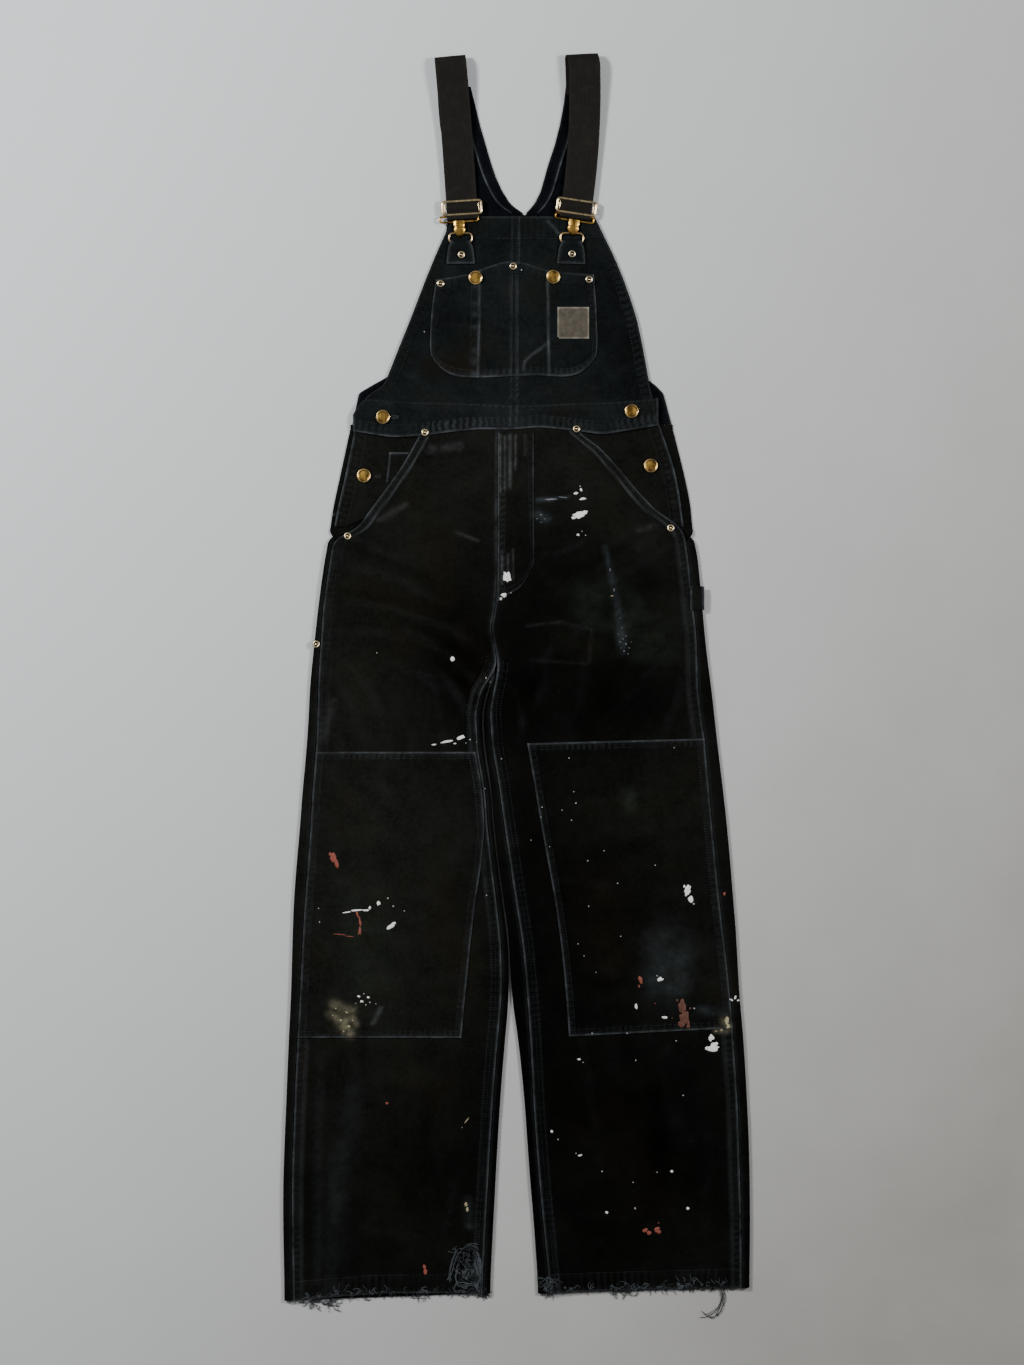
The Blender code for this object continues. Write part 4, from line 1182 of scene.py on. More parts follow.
bib = cut_panel("bib_front", 2.6, 2.6)
for side, rungs in (("left", 0.0), ("right", 0.07)):
    edge_form(bib, side, 14.0, 0.5, (2.2, 12.5), 0.3, seed=101 + len(side), worn=0.3, rungs=rungs)
    sew(bib, side, (2.2, 12.5))
edge_form(bib, "high", 28.0, 0.7, (2.5, 27.0), 0.0, seed=105, worn=0.3, rungs=0.0)
sew(bib, "high", (2.5, 27.0))
CENTRE_SEAM = ((-5.6, 1300.0), (-7.2, 1048.0)), ((3.4, 1300.0), (0.4, 1048.0))
for number, route in enumerate(CENTRE_SEAM):
    seam_on(bib, route, 0.35, 0.9, 0.15 + 0.4 * number, seed=141 + number)
bib.high += 0.4 * np.exp(-(((bib.across + 3) / 3.6) ** 4))
for across, slant in ((-4.4, -1.4), (0.9, -2.6)):
    sew_route((across, 1298), (across + slant / 2, 1190), (across + slant, 1064))
rub(bib)
build(bib, "bib", bib_canvas)

pocket = cut_panel("bib_pocket", 2.0, 2.0, joined=9.0)
for side, rungs in (("left", 0.05), ("right", 0.05), ("low", 0.14)):
    edge_form(pocket, side, 9.0, 0.35, (2.0, 9.2), 0.35, seed=111 + len(side), rungs=rungs)
    sew(pocket, side, (2.0, 9.2))
edge_form(pocket, "high", 14.0, 0.5, (2.0, 13.0), 0.1, seed=119, worn=0.55, rungs=0.02)
sew(pocket, "high", (2.0, 13.0))
DIVIDER_RIGHT = ((-43.8, 1237.0), (-44.5, 1180.0), (-46.0, 1107.0))
DIVIDER_LEFT = ((38.6, 1108.0), (37.8, 1180.0), (37.0, 1234.0))
INNER_FOLD = ((37.0, 1147.0), (17.5, 1133.0), (10.0, 1126.0), (8.0, 1117.0))
seam_on(pocket, DIVIDER_RIGHT, 0.25, 1.2, 0.85, step=0.9, pucker=0.5, seed=151)
seam_on(pocket, DIVIDER_LEFT, 0.25, 1.2, 0.85, step=0.9, seed=155)
seam_on(pocket, INNER_FOLD, 0.8, 1.6, 0.45, seed=159)
for across, wear in ((-6.8, 0.20), (0.8, 0.32)):
    seam_on(pocket, ((across, 1246.0), (across, 1108.0)), 0.25, 1.3, wear, seed=161)
for across in (-5.2, -1.4):
    sew_route((across, 1230), (across, 1170), (across, 1112))
sew_route((-46, 1230), (-46.8, 1170), (-48.3, 1110))
sew_route((-53.5, 1226), (-54.3, 1170), (-55.8, 1112))
sew_route((39.5, 1230), (40.2, 1170), (41.0, 1110))
rub(pocket)
build(pocket, "chest_pocket", bib_canvas)

band = cut_panel("waistband", 2.0, 2.2)
edge_form(band, "low", 16.0, 0.3, (2.5, 14.5), 0.8, seed=121, worn=1.1, rungs=0.26)
edge_form(band, "high", 9.0, 0.2, (2.5,), 0.40, seed=123, worn=0.12, rungs=0.16)
edge_form(band, "left", 0, 0, (2.5,), 0.2, seed=125)
edge_form(band, "right", 0, 0, (2.5,), 0.2, seed=127, worn=0.5)
for route in CENTRE_SEAM:
    seam_on(band, route, 0.3, 0.9, 0.35, seed=129)
sew(band, "low", (2.5, 14.5))
sew(band, "high", (2.5,))
rub(band)
build(band, "waistband_cloth", bib_canvas, 1.6)

for letter, edge in (("r", "right"), ("l", "left")):
    strip = cut_panel(f"neck_facing_{letter}", 2.0, 2.4)
    other = "left" if edge == "right" else "right"
    edge_form(strip, edge, 0, 0, (2.0,), 0.2, seed=131, worn=0.15, rungs=0.03)
    edge_form(strip, other, 0, 0, (2.0,), 0.2, seed=133, worn=1.3, rungs=0.05)
    sew(strip, other, (2.0,))
    build(strip, f"neck_strip_{letter}", inner_canvas, 1.0)

label = cut_panel("label_patch", 1.2, 1.2, soften=0.8, blurred=1.0)
for side in ("low", "right", "high", "left"):
    edge_form(label, side, 0, 0, (1.6,), 0.05, seed=135, roll=0.3, worn=1.3)
build(label, "label_cloth", bare_label, 0.9)

loop = cut_panel("hammer_loop", 1.5, 1.5)
edge_form(loop, "left", 0, 0, (2.0,), 0.2, seed=135)
edge_form(loop, "right", 0, 0, (2.0,), 0.2, seed=137)
build(loop, "tool_loop", leg_canvas, 1.2)


def crossings(loop, up):
    """Where a line across at that height meets a loop, from the right of the garment on."""
    after = np.roll(loop, -1, axis=0)
    over = (loop[:, 1] <= up) != (after[:, 1] <= up)
    a, b = loop[over], after[over]
    return np.sort(a[:, 0] + (b[:, 0] - a[:, 0]) * (up - a[:, 1]) / (b[:, 1] - a[:, 1]))


# The high back and its cloth straps: two halves that meet below the foot of the V.
BACK_FOOT = 1050.5
BACK_HEAD = 1455.8
BACK_STEP = 3.0
NECK_FOOT = 1301.0
NECK_MIDDLE = 10.0
NECK_WEAR = (NECK_FOOT - 2, NECK_FOOT + 8)


def back_body():
    """The high back: a half on each side of the neck, as one piece."""
    loop = outline("back_body")
    ups = np.arange(BACK_FOOT, BACK_HEAD, BACK_STEP)
    ups = np.sort(np.append(ups, [NECK_FOOT, BACK_HEAD]))
    rows = {"right": [], "left": []}
    for up in ups:
        edges = crossings(loop, up)
        split = len(edges) >= 4 and up > NECK_FOOT
        rows["right"].append((edges[0], edges[1] if split else NECK_MIDDLE))
        rows["left"].append((edges[2] if split else NECK_MIDDLE, edges[-1]))
    shares = spread(100, 4.0)
    halves = []
    for side in ("right", "left"):
        ends = np.array(rows[side])
        across = ends[:, :1] + (ends[:, 1:] - ends[:, :1]) * shares[None]
        up = np.repeat(ups[:, None], len(shares), 1)
        high = np.full_like(across, CLOTH)
        first, last = across - across[:, :1], across[:, -1:] - across
        edge, neck = (first, last) if side == "right" else (last, first)
        above = ease(up, *NECK_WEAR)
        wear = 0.3 * fading(edge, 1.2) + 0.25 * fading(neck, 1.2) * above
        data = grid_mesh("half", across, up, high)
        add_looks(data, across, up, wear, fade_and_shade_at(across, up))
        halves.append(data)
    whole = bmesh.new()
    for data in halves:
        whole.from_mesh(data)
        bpy.data.meshes.remove(data)
    bmesh.ops.remove_doubles(whole, verts=whole.verts, dist=1e-6)
    piece = wall(link("high_back", mesh_data("high_back", whole), inner_canvas), CLOTH)
    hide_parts("back_body")
    dressed.append(piece)


back_body()

# The backs of the legs: round each fold, the share of the way out from the seam to the fold,
# and the height.
WRAP = table(
    "out high",
    (0.00, 6.5),
    (0.20, 7.0),
    (0.45, 7.1),
    (0.68, 6.6),
    (0.85, 5.6),
    (0.96, 4.4),
    (1.00, 3.2),
    (0.96, 2.0),
    (0.86, 1.0),
    (0.70, 0.35),
    (0.45, 0.0),
)
WRAP_FLAT_STEP = 1.6
# The heights between which the wrap ends at the outer fold, and at the inner one.
WRAP_END = (905.0, 935.0)
CROTCH = (735.0, 764.0)
BACK_TOP = 1050.3
BACK_ROWS = 330
UNDER_STEPS = 16
SEAM_GAP = 0.5
LEAST_WRAP = 1.0
# How far a place is folded when its turned layer starts to lie over it, and when it fully does.
TURN_OVER = (0.42, 1.0)
# The folds' lines are read off the solid at this step, from this height up, and smoothed over
# so many steps on each side.
FOLD_STEP = 6.0
FOLD_FOOT = 17.0
FOLD_BLUR = 3
# How high above the floor the cloth's relief and its puckers begin and are full.
RELIEF_RISE = (3.5, 6.5)
PUCKER_RISE = (5.0, 6.6)
# How much darker than their fronts the backs of the legs are coloured.
BACK_DARKER = 0.12

# How high each back's hem stands at its outer and inner folds.
HEMS = {"r": (0.0, 8.4), "l": (15.6, 8.4)}


def back_leg(letter, outer_side):
    """The back of a leg: flat below, and round both folds up to the front's seams."""
    node = f"back_leg_{letter}"
    points, faces = mesh_arrays(node)
    front = panels[f"front_leg_{letter}"]
    outer, inner = ("left", "right") if outer_side < 0 else ("right", "left")
    ends = {"left": 0, "right": -1}
    a = points[faces].reshape(-1, 3)
    b = points[np.roll(faces, -1, 1)].reshape(-1, 3)
    shares = np.linspace(0, 1, BACK_ROWS)
    hem_outer, hem_inner = HEMS[letter]
    stations = len(WRAP["out"])
    total = 2 * stations + UNDER_STEPS - 1
    across = np.zeros((len(shares), total))
    ups = np.zeros_like(across)
    high = np.zeros_like(across)
    wear = np.zeros_like(across)

    def extreme(up, way):
        over = (a[:, 1] <= up) != (b[:, 1] <= up)
        p, q = a[over], b[over]
        x = p[:, 0] + (q[:, 0] - p[:, 0]) * (up - p[:, 1]) / (q[:, 1] - p[:, 1])
        return x.min() if way < 0 else x.max()

    grid = np.arange(1.0, BACK_TOP + 0.5, FOLD_STEP)
    folds = {}
    for way in (-1, 1):
        fold = np.array([extreme(up, way) for up in np.clip(grid, FOLD_FOOT, BACK_TOP - 1)])
        padded = np.pad(fold, FOLD_BLUR, "reflect", reflect_type="odd")
        width = 2 * FOLD_BLUR + 1
        folds[way] = np.convolve(padded, np.ones(width) / width, "valid")
    order = {}
    for side in (outer, inner):
        k = ends[side]
        order[side] = (front.up[:, k], front.across[:, k])
    for row, share in enumerate(shares):
        for side, way in ((outer, outer_side), (inner, -outer_side)):
            hem = hem_outer if side == outer else hem_inner
            up = hem + (BACK_TOP - hem) * share
            fold = np.interp(up, grid, folds[way])
            seam = np.interp(up, *order[side])
            if side == outer:
                folded = 1 - ease(up, *WRAP_END)
            else:
                folded = 1 - ease(up, *CROTCH)
                seam = np.interp(min(up, CROTCH[1]), *order[side]) if up < CROTCH[1] else fold
            seam = seam + way * SEAM_GAP if folded > 0.02 else fold
            wide = max(way * (fold - seam), LEAST_WRAP)
            wrapped = fold - way * wide * (1 - WRAP["out"])
            flat = fold - way * WRAP_FLAT_STEP * np.arange(stations)
            x = flat + (wrapped - flat) * ease(folded, *TURN_OVER)
            z = WRAP["high"] * folded**2
            level = np.full_like(x, up)
            lift = relief(x, level) * ease(z, *RELIEF_RISE)
            z = z + lift + 0.5 * ripple(level, 9.0, 141 + ends[side]) * ease(z, *PUCKER_RISE)
            rubbed = 0.01 + 0.16 * fading(WRAP["out"] * wide, 1.2)
            columns = slice(0, stations) if side == outer else slice(total - stations, total)
            turn = slice(None) if side == outer else slice(None, None, -1)
            across[row, columns] = x[turn]
            ups[row, columns] = up
            high[row, columns] = z[turn]
            wear[row, columns] = rubbed[turn] * folded
    first, last = stations - 1, total - stations
    t = np.linspace(0, 1, last - first + 1)
    for layer in (across, ups, high):
        layer[:, first : last + 1] = layer[:, [first]] * (1 - t) + layer[:, [last]] * t
    data = grid_mesh(f"leg_back_{letter}", across, ups, high, faces_up=outer_side > 0)
    add_looks(data, across, ups, wear, fade_and_shade_at(across, ups) - BACK_DARKER)
    piece = wall(link(f"leg_back_{letter}", data, leg_canvas), CLOTH)
    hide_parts(node)
    dressed.append(piece)


back_leg("r", -1)
back_leg("l", 1)

# The elastic straps, seen from the side: the distance up from the slide, and the height.
STRAP_WIDTH = 37.0
STRAP_CLOTH = 1.4
RIB = 1.55
STRAP = table(
    "up high shift",
    (34.0, 4.6, 0.0),
    (8.0, 4.6, 0.0),
    (-11.2, 4.6, 0.0),
    (-13.0, 5.1, 0.0),
    (-13.7, 6.7, 0.0),
    (-13.0, 8.2, 0.0),
    (-11.2, 8.7, 0.0),
    (-9.8, 8.1, 0.0),
    (-8.3, 6.7, 0.0),
    (-6.6, 6.7, 0.0),
    (-0.9, 10.5, 0.0),
    (0.9, 10.5, 0.0),
    (6.6, 6.7, 0.0),
    (8.6, 6.6, 0.0),
    (24.0, 6.4, 0.0),
    (52.0, 6.6, 0.0),
    (84.0, 8.0, 0.0),
    (114.0, 10.4, 0.0),
    (140.0, 13.2, 0.0),
    (158.0, 15.4, 0.0),
    (169.1, 16.0, 0.0),
    (176.1, 15.2, 1.0),
    (180.1, 12.8, 2.0),
    (181.1, 9.6, 3.0),
    (178.1, 6.4, 4.0),
    (170.1, 4.0, 4.0),
    (156.0, 2.7, 4.0),
    (134.0, 2.5, 4.0),
)
STRAP_REACH = 181.1
STRAP_STEP = 2.6
STRAP_COLUMNS = 61
# The buckle sets: the place and the turn in degrees of the slide, of the hook and of the ring
# with its tab, how far the strap's top bows to the side, and the share of the strap's shift.
BUCKLES = {
    "r": {
        "slide": (-65.5, 1309.9, 3.5),
        "hook": (-69.8, 1311.0, 3.5),
        "ring": (-67.4, 1313.0, 0.5),
        "bow": 2.7,
        "shift": 0.15,
    },
    "l": {
        "slide": (72.0, 1310.8, -8.5),
        "hook": (72.0, 1312.2, -8.5),
        "ring": (67.4, 1313.0, -1.5),
        "bow": 18.2,
        "shift": 1.0,
    },
}


def set_down(across, up, place):
    """Turns and moves places that are measured from the middle of a piece of the buckle."""
    turn = math.radians(place[2])
    x = across * math.cos(turn) - up * math.sin(turn)
    y = across * math.sin(turn) + up * math.cos(turn)
    return x + place[0], y + place[1]


def flat_loop(route, place, high):
    """A route round a piece of the buckle, at one height."""
    x, y = set_down(route[:, 0], route[:, 1], place)
    return np.stack([x, y, np.full(len(x), high)], 1)


def elastic_strap(letter, buckle):
    """The ribbed strap: through the slide, down round the hook, and up over the cloth."""
    path = smooth_route(np.stack([STRAP["up"], STRAP["high"], STRAP["shift"]], 1), STRAP_STEP)
    columns = np.linspace(-0.5, 0.5, STRAP_COLUMNS)
    across = STRAP_WIDTH * columns[None]
    reach = np.maximum(path[:, :1], 0) / STRAP_REACH
    lean = 2 * buckle["bow"] * reach / STRAP_REACH
    middle = buckle["bow"] * reach**2 + buckle["shift"] * path[:, 2:]
    x, y = across - middle, path[:, :1] + lean * across
    ribs = np.cos(2 * np.pi * across / RIB)
    edge = STRAP_WIDTH / 2 - np.abs(across)
    step = np.gradient(path[:, :2], axis=0)
    step /= np.linalg.norm(step, axis=1)[:, None]
    # The ribs stand off the cloth, square to the strap's own run.
    proud = 0.09 * ribs + 0.10 * noise(across + 0 * x, y, 16, 201) - 0.2 * fading(edge, 0.6)
    y = y - proud * step[:, 1:]
    high = path[:, 1:2] + proud * step[:, :1] + 0 * x
    x, y = set_down(x, y, buckle["slide"])
    data = grid_mesh(f"strap_{letter}", x, y, high, faces_up=True)
    add_values(data, "rib", (0.5 + 0.5 * ribs) * np.ones_like(x) + 0.5 * fading(edge, 1.2))
    piece = wall(link(f"strap_{letter}", data, elastic), STRAP_CLOTH, 0.0)
    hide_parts(f"elastic_strap_{letter}")
    dressed.append(piece)


# The cloth tab round each ring: the distance up from the slide, the height and the width.
TAB_CLOTH = 1.2
TAB_STEP = 1.0
TAB_COLUMNS = 31
# Above this height a point of the tab is on its upper layer, where its sewn end shows.
TAB_UPPER = 6.0
TAB_ROW = (2.5, 0.9)
TAB = table(
    "up high width",
    (-52.0, 4.8, 24.0),
    (-44.9, 4.8, 24.0),
    (-42.9, 5.3, 24.0),
    (-42.3, 6.7, 24.0),
    (-42.9, 8.1, 24.0),
    (-44.9, 8.6, 24.0),
    (-50.0, 7.8, 28.5),
    (-56.0, 6.6, 31.0),
    (-70.0, 6.3, 34.0),
)


def bib_tab(letter, buckle):
    """The cloth tab: round its ring, and sewn down on the bib."""
    path = smooth_route(np.stack([TAB["up"], TAB["high"], TAB["width"]], 1), TAB_STEP)
    columns = np.linspace(-0.5, 0.5, TAB_COLUMNS)[None]
    x = path[:, 2:] * columns
    y = path[:, :1] + 0 * x
    edge = path[:, 2:] / 2 - np.abs(x)
    end = y - path[-1, 0]
    border = np.minimum(edge, np.where(path[:, 1:2] > TAB_UPPER, end, 99))
    high = path[:, 1:2] - 0.35 * bell(border, *TAB_ROW) + 0.15 * noise(x, y, 6, 211)
    high -= 0.4 * fading(border, 0.8)
    wear = 0.8 * fading(border, 1.2) + 0.25 * np.clip(noise(x, y, 4, 212), 0, 1) * fading(border, 3)
    across, up = set_down(x, y, buckle["ring"])
    data = grid_mesh(f"tab_{letter}", across, up, high, faces_up=False)
    add_looks(data, across, up, wear, fade_and_shade_at(across, up) - 0.05)
    piece = wall(link(f"tab_{letter}", data, bib_canvas), TAB_CLOTH, 0.0)
    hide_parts(f"bib_tab_{letter}")
    dressed.append(piece)


# The brass: wire frames of the slide, hook and ring, about the slide's middle. Each frame's
# width, length and corner radius, and the radius of its wire.
SLIDE_FRAME = (46.8, 15.8, 3.2)
SLIDE_WIRE = 1.55
SLIDE_HIGH = 8.6
SLIDE_BARS = (-20.2, 20.2)
HOOK_FRAME = (46.0, 6.6, 2.6)
HOOK_WIRE = 1.25
HOOK_HIGH = 6.7
HOOK_MIDDLE = -14.6
RING_FRAME = (27.4, 11.4, 4.6)
RING_WIRE = 1.25
RING_HIGH = 6.7
RING_MIDDLE = -39.2
# The wire frames are this much lower than they are wide.
SLIDE_FLAT = 0.8
WIRE_FLAT = 0.85
# The tongue of the hook: where it starts, how far down it runs, and its half width.
TONGUE_START = -16.2
TONGUE_RUN = 20.4
TONGUE_HALF = 7.0
TONGUE_SHEET = 1.2

# How much highlight is painted on the slides and rings, which makes them paler than the
# hooks.
PALE_SLIDE = 0.5
PALE_RING = 0.3


def slide(letter, buckle):
    """The slide: a wire frame with two side bars and a middle bar."""
    mesh = bmesh.new()
    place = buckle["slide"]
    route = flat_loop(rounded(*SLIDE_FRAME), place, SLIDE_HIGH)
    tube(mesh, route, SLIDE_WIRE, 12, SLIDE_FLAT, closed=True)
    for x in SLIDE_BARS:
        bar = np.array([(x, y) for y in np.linspace(-7.4, 7.4, 6)])
        tube(mesh, flat_loop(bar, place, SLIDE_HIGH), (0, 1.0, 1.0, 1.0, 1.0, 0), 8)
    bar = np.array([(x, 0.0) for x in np.linspace(-21, 21, 8)])
    tube(mesh, flat_loop(bar, place, SLIDE_HIGH), (0, 0.8, 0.8, 0.8, 0.8, 0.8, 0.8, 0), 8)
    piece = closed_piece(f"slide_{letter}", mesh, brass)
    add_values(piece.data, "pale", np.full(len(piece.data.vertices), PALE_SLIDE))
    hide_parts(f"slide_adjuster_{letter}")


def hook(letter, buckle):
    """The hook: a flat wire frame, and the tongue that holds the ring."""
    mesh = bmesh.new()
    route = rounded(*HOOK_FRAME)
    route[:, 1] += HOOK_MIDDLE
    tube(mesh, flat_loop(route, buckle["hook"], HOOK_HIGH), HOOK_WIRE, 10, WIRE_FLAT, closed=True)
    frame_piece = closed_piece(f"hook_frame_{letter}_wire", mesh, brass)
    # The tongue narrows to a round end and bulges in its middle.
    v = np.linspace(0, 1, 22)[:, None]
    u = np.linspace(-1, 1, 17)[None]
    y = TONGUE_START - TONGUE_RUN * v + 0 * u
    block = ease(v, 0.34, 0.40)
    half = (TONGUE_HALF - 0.9 * bell(v, 0.40, 0.05)) * (1 - ease(v, 0.55, 1.02)) ** 0.42
    x = u * half
    bulge = 1.0 - np.abs(u) ** 2.6
    z = 7.3 + 1.0 * np.sin(np.pi * v) + bulge * (0.9 * (1 - block) + 1.8 * block * (1 - v) + 0.4)
    z = z - 0.7 * bell(v, 0.37, 0.035) - 2.6 * ease(v, 0.86, 1.0)
    across, up = set_down(x, y, buckle["hook"])
    data = grid_mesh(f"hook_tongue_{letter}", across, up, z, faces_up=False)
    tongue = wall(link(f"hook_tongue_{letter}", data, brass), TONGUE_SHEET)
    for piece in (frame_piece, tongue):
        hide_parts(f"hook_frame_{letter}")


def ring(letter, buckle):
    """The ring that the tab holds."""
    mesh = bmesh.new()
    route = rounded(*RING_FRAME)
    route[:, 1] += RING_MIDDLE
    tube(mesh, flat_loop(route, buckle["ring"], RING_HIGH), RING_WIRE, 12, WIRE_FLAT, closed=True)
    piece = closed_piece(f"ring_{letter}", mesh, brass)
    add_values(piece.data, "pale", np.full(len(piece.data.vertices), PALE_RING))
    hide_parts(f"tab_ring_{letter}")


for letter, buckle in BUCKLES.items():
    slide(letter, buckle)
    hook(letter, buckle)
    ring(letter, buckle)
    elastic_strap(letter, buckle)
    bib_tab(letter, buckle)

cloth = surface_tree()

# Buttons and rivets, turned from their profiles: each row's distance from the middle, its
# height, how dull the brass is there, and how much highlight is painted on it there.
BUTTON = table(
    "out high dull pale",
    (0.0, 2.2, 0.05, 0.0),
    (2.5, 2.15, 0.10, 0.0),
    (5.2, 2.0, 0.15, 0.0),
    (6.2, 1.9, 0.70, 0.0),
    (6.7, 2.3, 0.25, 0.1),
    (7.3, 2.75, 0.0, 0.2),
    (8.0, 2.65, 0.0, 0.2),
    (8.5, 2.1, 0.2, 0.0),
    (8.5, 1.2, 0.5, 0.0),
    (8.0, 0.3, 0.8, 0.0),
    (0.0, 0.0, 0.8, 0.0),
)
RIVET = table(
    "out high dull pale",
    (0.0, 1.4, 0.0, 0.8),
    (0.8, 1.35, 0.0, 0.8),
    (1.15, 0.9, 0.8, 0.0),
    (1.5, 0.4, 1.0, 0.0),
    (2.2, 0.4, 1.0, 0.0),
    (2.6, 1.0, 0.3, 0.5),
    (3.1, 1.3, 0.0, 0.8),
    (3.8, 1.3, 0.0, 0.7),
    (4.4, 0.8, 0.3, 0.2),
    (4.6, 0.0, 0.9, 0.0),
    (0.0, -0.3, 0.9, 0.0),
)


# How far each button is turned from the one before, and how deep it sits in the cloth.
BUTTON_TURN = 0.9
SEAT_DEPTH = 0.2


def turned(name, profile, sides, nodes):
    """Round brass pieces, one at the place of each of the nodes."""
    mesh = bmesh.new()
    rows = np.stack([profile["out"], profile["high"]], 1)
    line = [mesh.verts.new((out * MM, 0, high * MM)) for out, high in rows]
    edges = [mesh.edges.new(pair) for pair in zip(line, line[1:])]
    bmesh.ops.spin(mesh, geom=line + edges, cent=(0, 0, 0), axis=(0, 0, 1), angle=2 * math.pi,
                   steps=sides, use_merge=True)
    bmesh.ops.remove_doubles(mesh, verts=mesh.verts, dist=1e-6)
    bmesh.ops.recalc_face_normals(mesh, faces=mesh.faces)
    mesh.verts.index_update()
    spots = np.array([(math.hypot(v.co.x, v.co.y), v.co.z) for v in mesh.verts]) / MM
    nearest = np.linalg.norm(spots[:, None] - rows, axis=2).argmin(1)
    places = []
    for number, node in enumerate(nodes):
        low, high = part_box(node)
        middle = (low + high) / 2
        seat = (top_at(cloth, middle.x / MM, middle.y / MM + HALF_LENGTH) - SEAT_DEPTH) * MM
        place = np.eye(4)
        turn = BUTTON_TURN * number
        place[:2, :2] = ((math.cos(turn), -math.sin(turn)), (math.sin(turn), math.cos(turn)))
        place[:3, 3] = (middle.x, middle.y, max(low.z, seat))
        places.append(place)
    piece = tiled(name, mesh, np.array(places), brass)
    for look in ("dull", "pale"):
        add_values(piece.data, look, np.tile(profile[look][nearest], len(places)))
    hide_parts(*nodes)


for name, profile, sides in (("button", BUTTON, 40), ("rivet", RIVET, 28)):
    nodes = sorted(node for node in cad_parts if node.startswith(f"{name}_"))
    turned(f"{name}s", profile, sides, nodes)

# The sewing: small stitches along every remembered row. The step from one to the next, the
# length, width and height of each, half its reach as a share of the step, how steep it may
# climb, and how far its middle stands above the cloth.
STITCH = 3.2
STITCH_SIZE = (2.5, 0.75, 0.6)
STITCH_HALF = 0.4
STEEPEST = 0.8
STITCH_LIFT = 0.1
# The bar tack on the left hip: its rows' ends across and their heights, in the photograph.
TACK_ENDS = (667, 680)
TACK_ROWS = (502.0, 504.5, 507.0)
TACK_RISE = 2


def stitches():
    """Lays a stitch at every step along every remembered row."""
    mesh = bmesh.new()
    bmesh.ops.create_uvsphere(mesh, u_segments=4, v_segments=3, radius=0.5)
    places = []
    for route in seams:
        run = run_of(route)
        for start in np.arange(STITCH / 2, run[-1] - STITCH / 2, STITCH):
            spots = [start + way * STITCH_HALF * STITCH for way in (-1, 1)]
            ends = [np.array([np.interp(spot, run, route[:, k]) for k in (0, 1)]) for spot in spots]
            tops = [top_at(cloth, *end) for end in ends]
            climb = np.clip(tops[1] - tops[0], -STEEPEST, STEEPEST)
            along = np.array([*(ends[1] - ends[0]), climb])
            along /= np.linalg.norm(along)
            side = np.cross((0, 0, 1), along)
            side /= np.linalg.norm(side)
            over = np.cross(along, side)
            place = np.eye(4)
            place[:3, :3] = np.stack([along, side, over], 1) * np.array(STITCH_SIZE) * MM
            middle = (ends[0] + ends[1]) / 2
            high = max(tops) + STITCH_LIFT
            place[:3, 3] = (middle[0] * MM, (middle[1] - HALF_LENGTH) * MM, high * MM)
            places.append(place)
    tiled("stitching", mesh, np.array(places), black_thread)


for y in TACK_ROWS:
    sew_route(*np.stack(from_photo(TACK_ENDS, [y, y - TACK_RISE]), 1))
stitches()

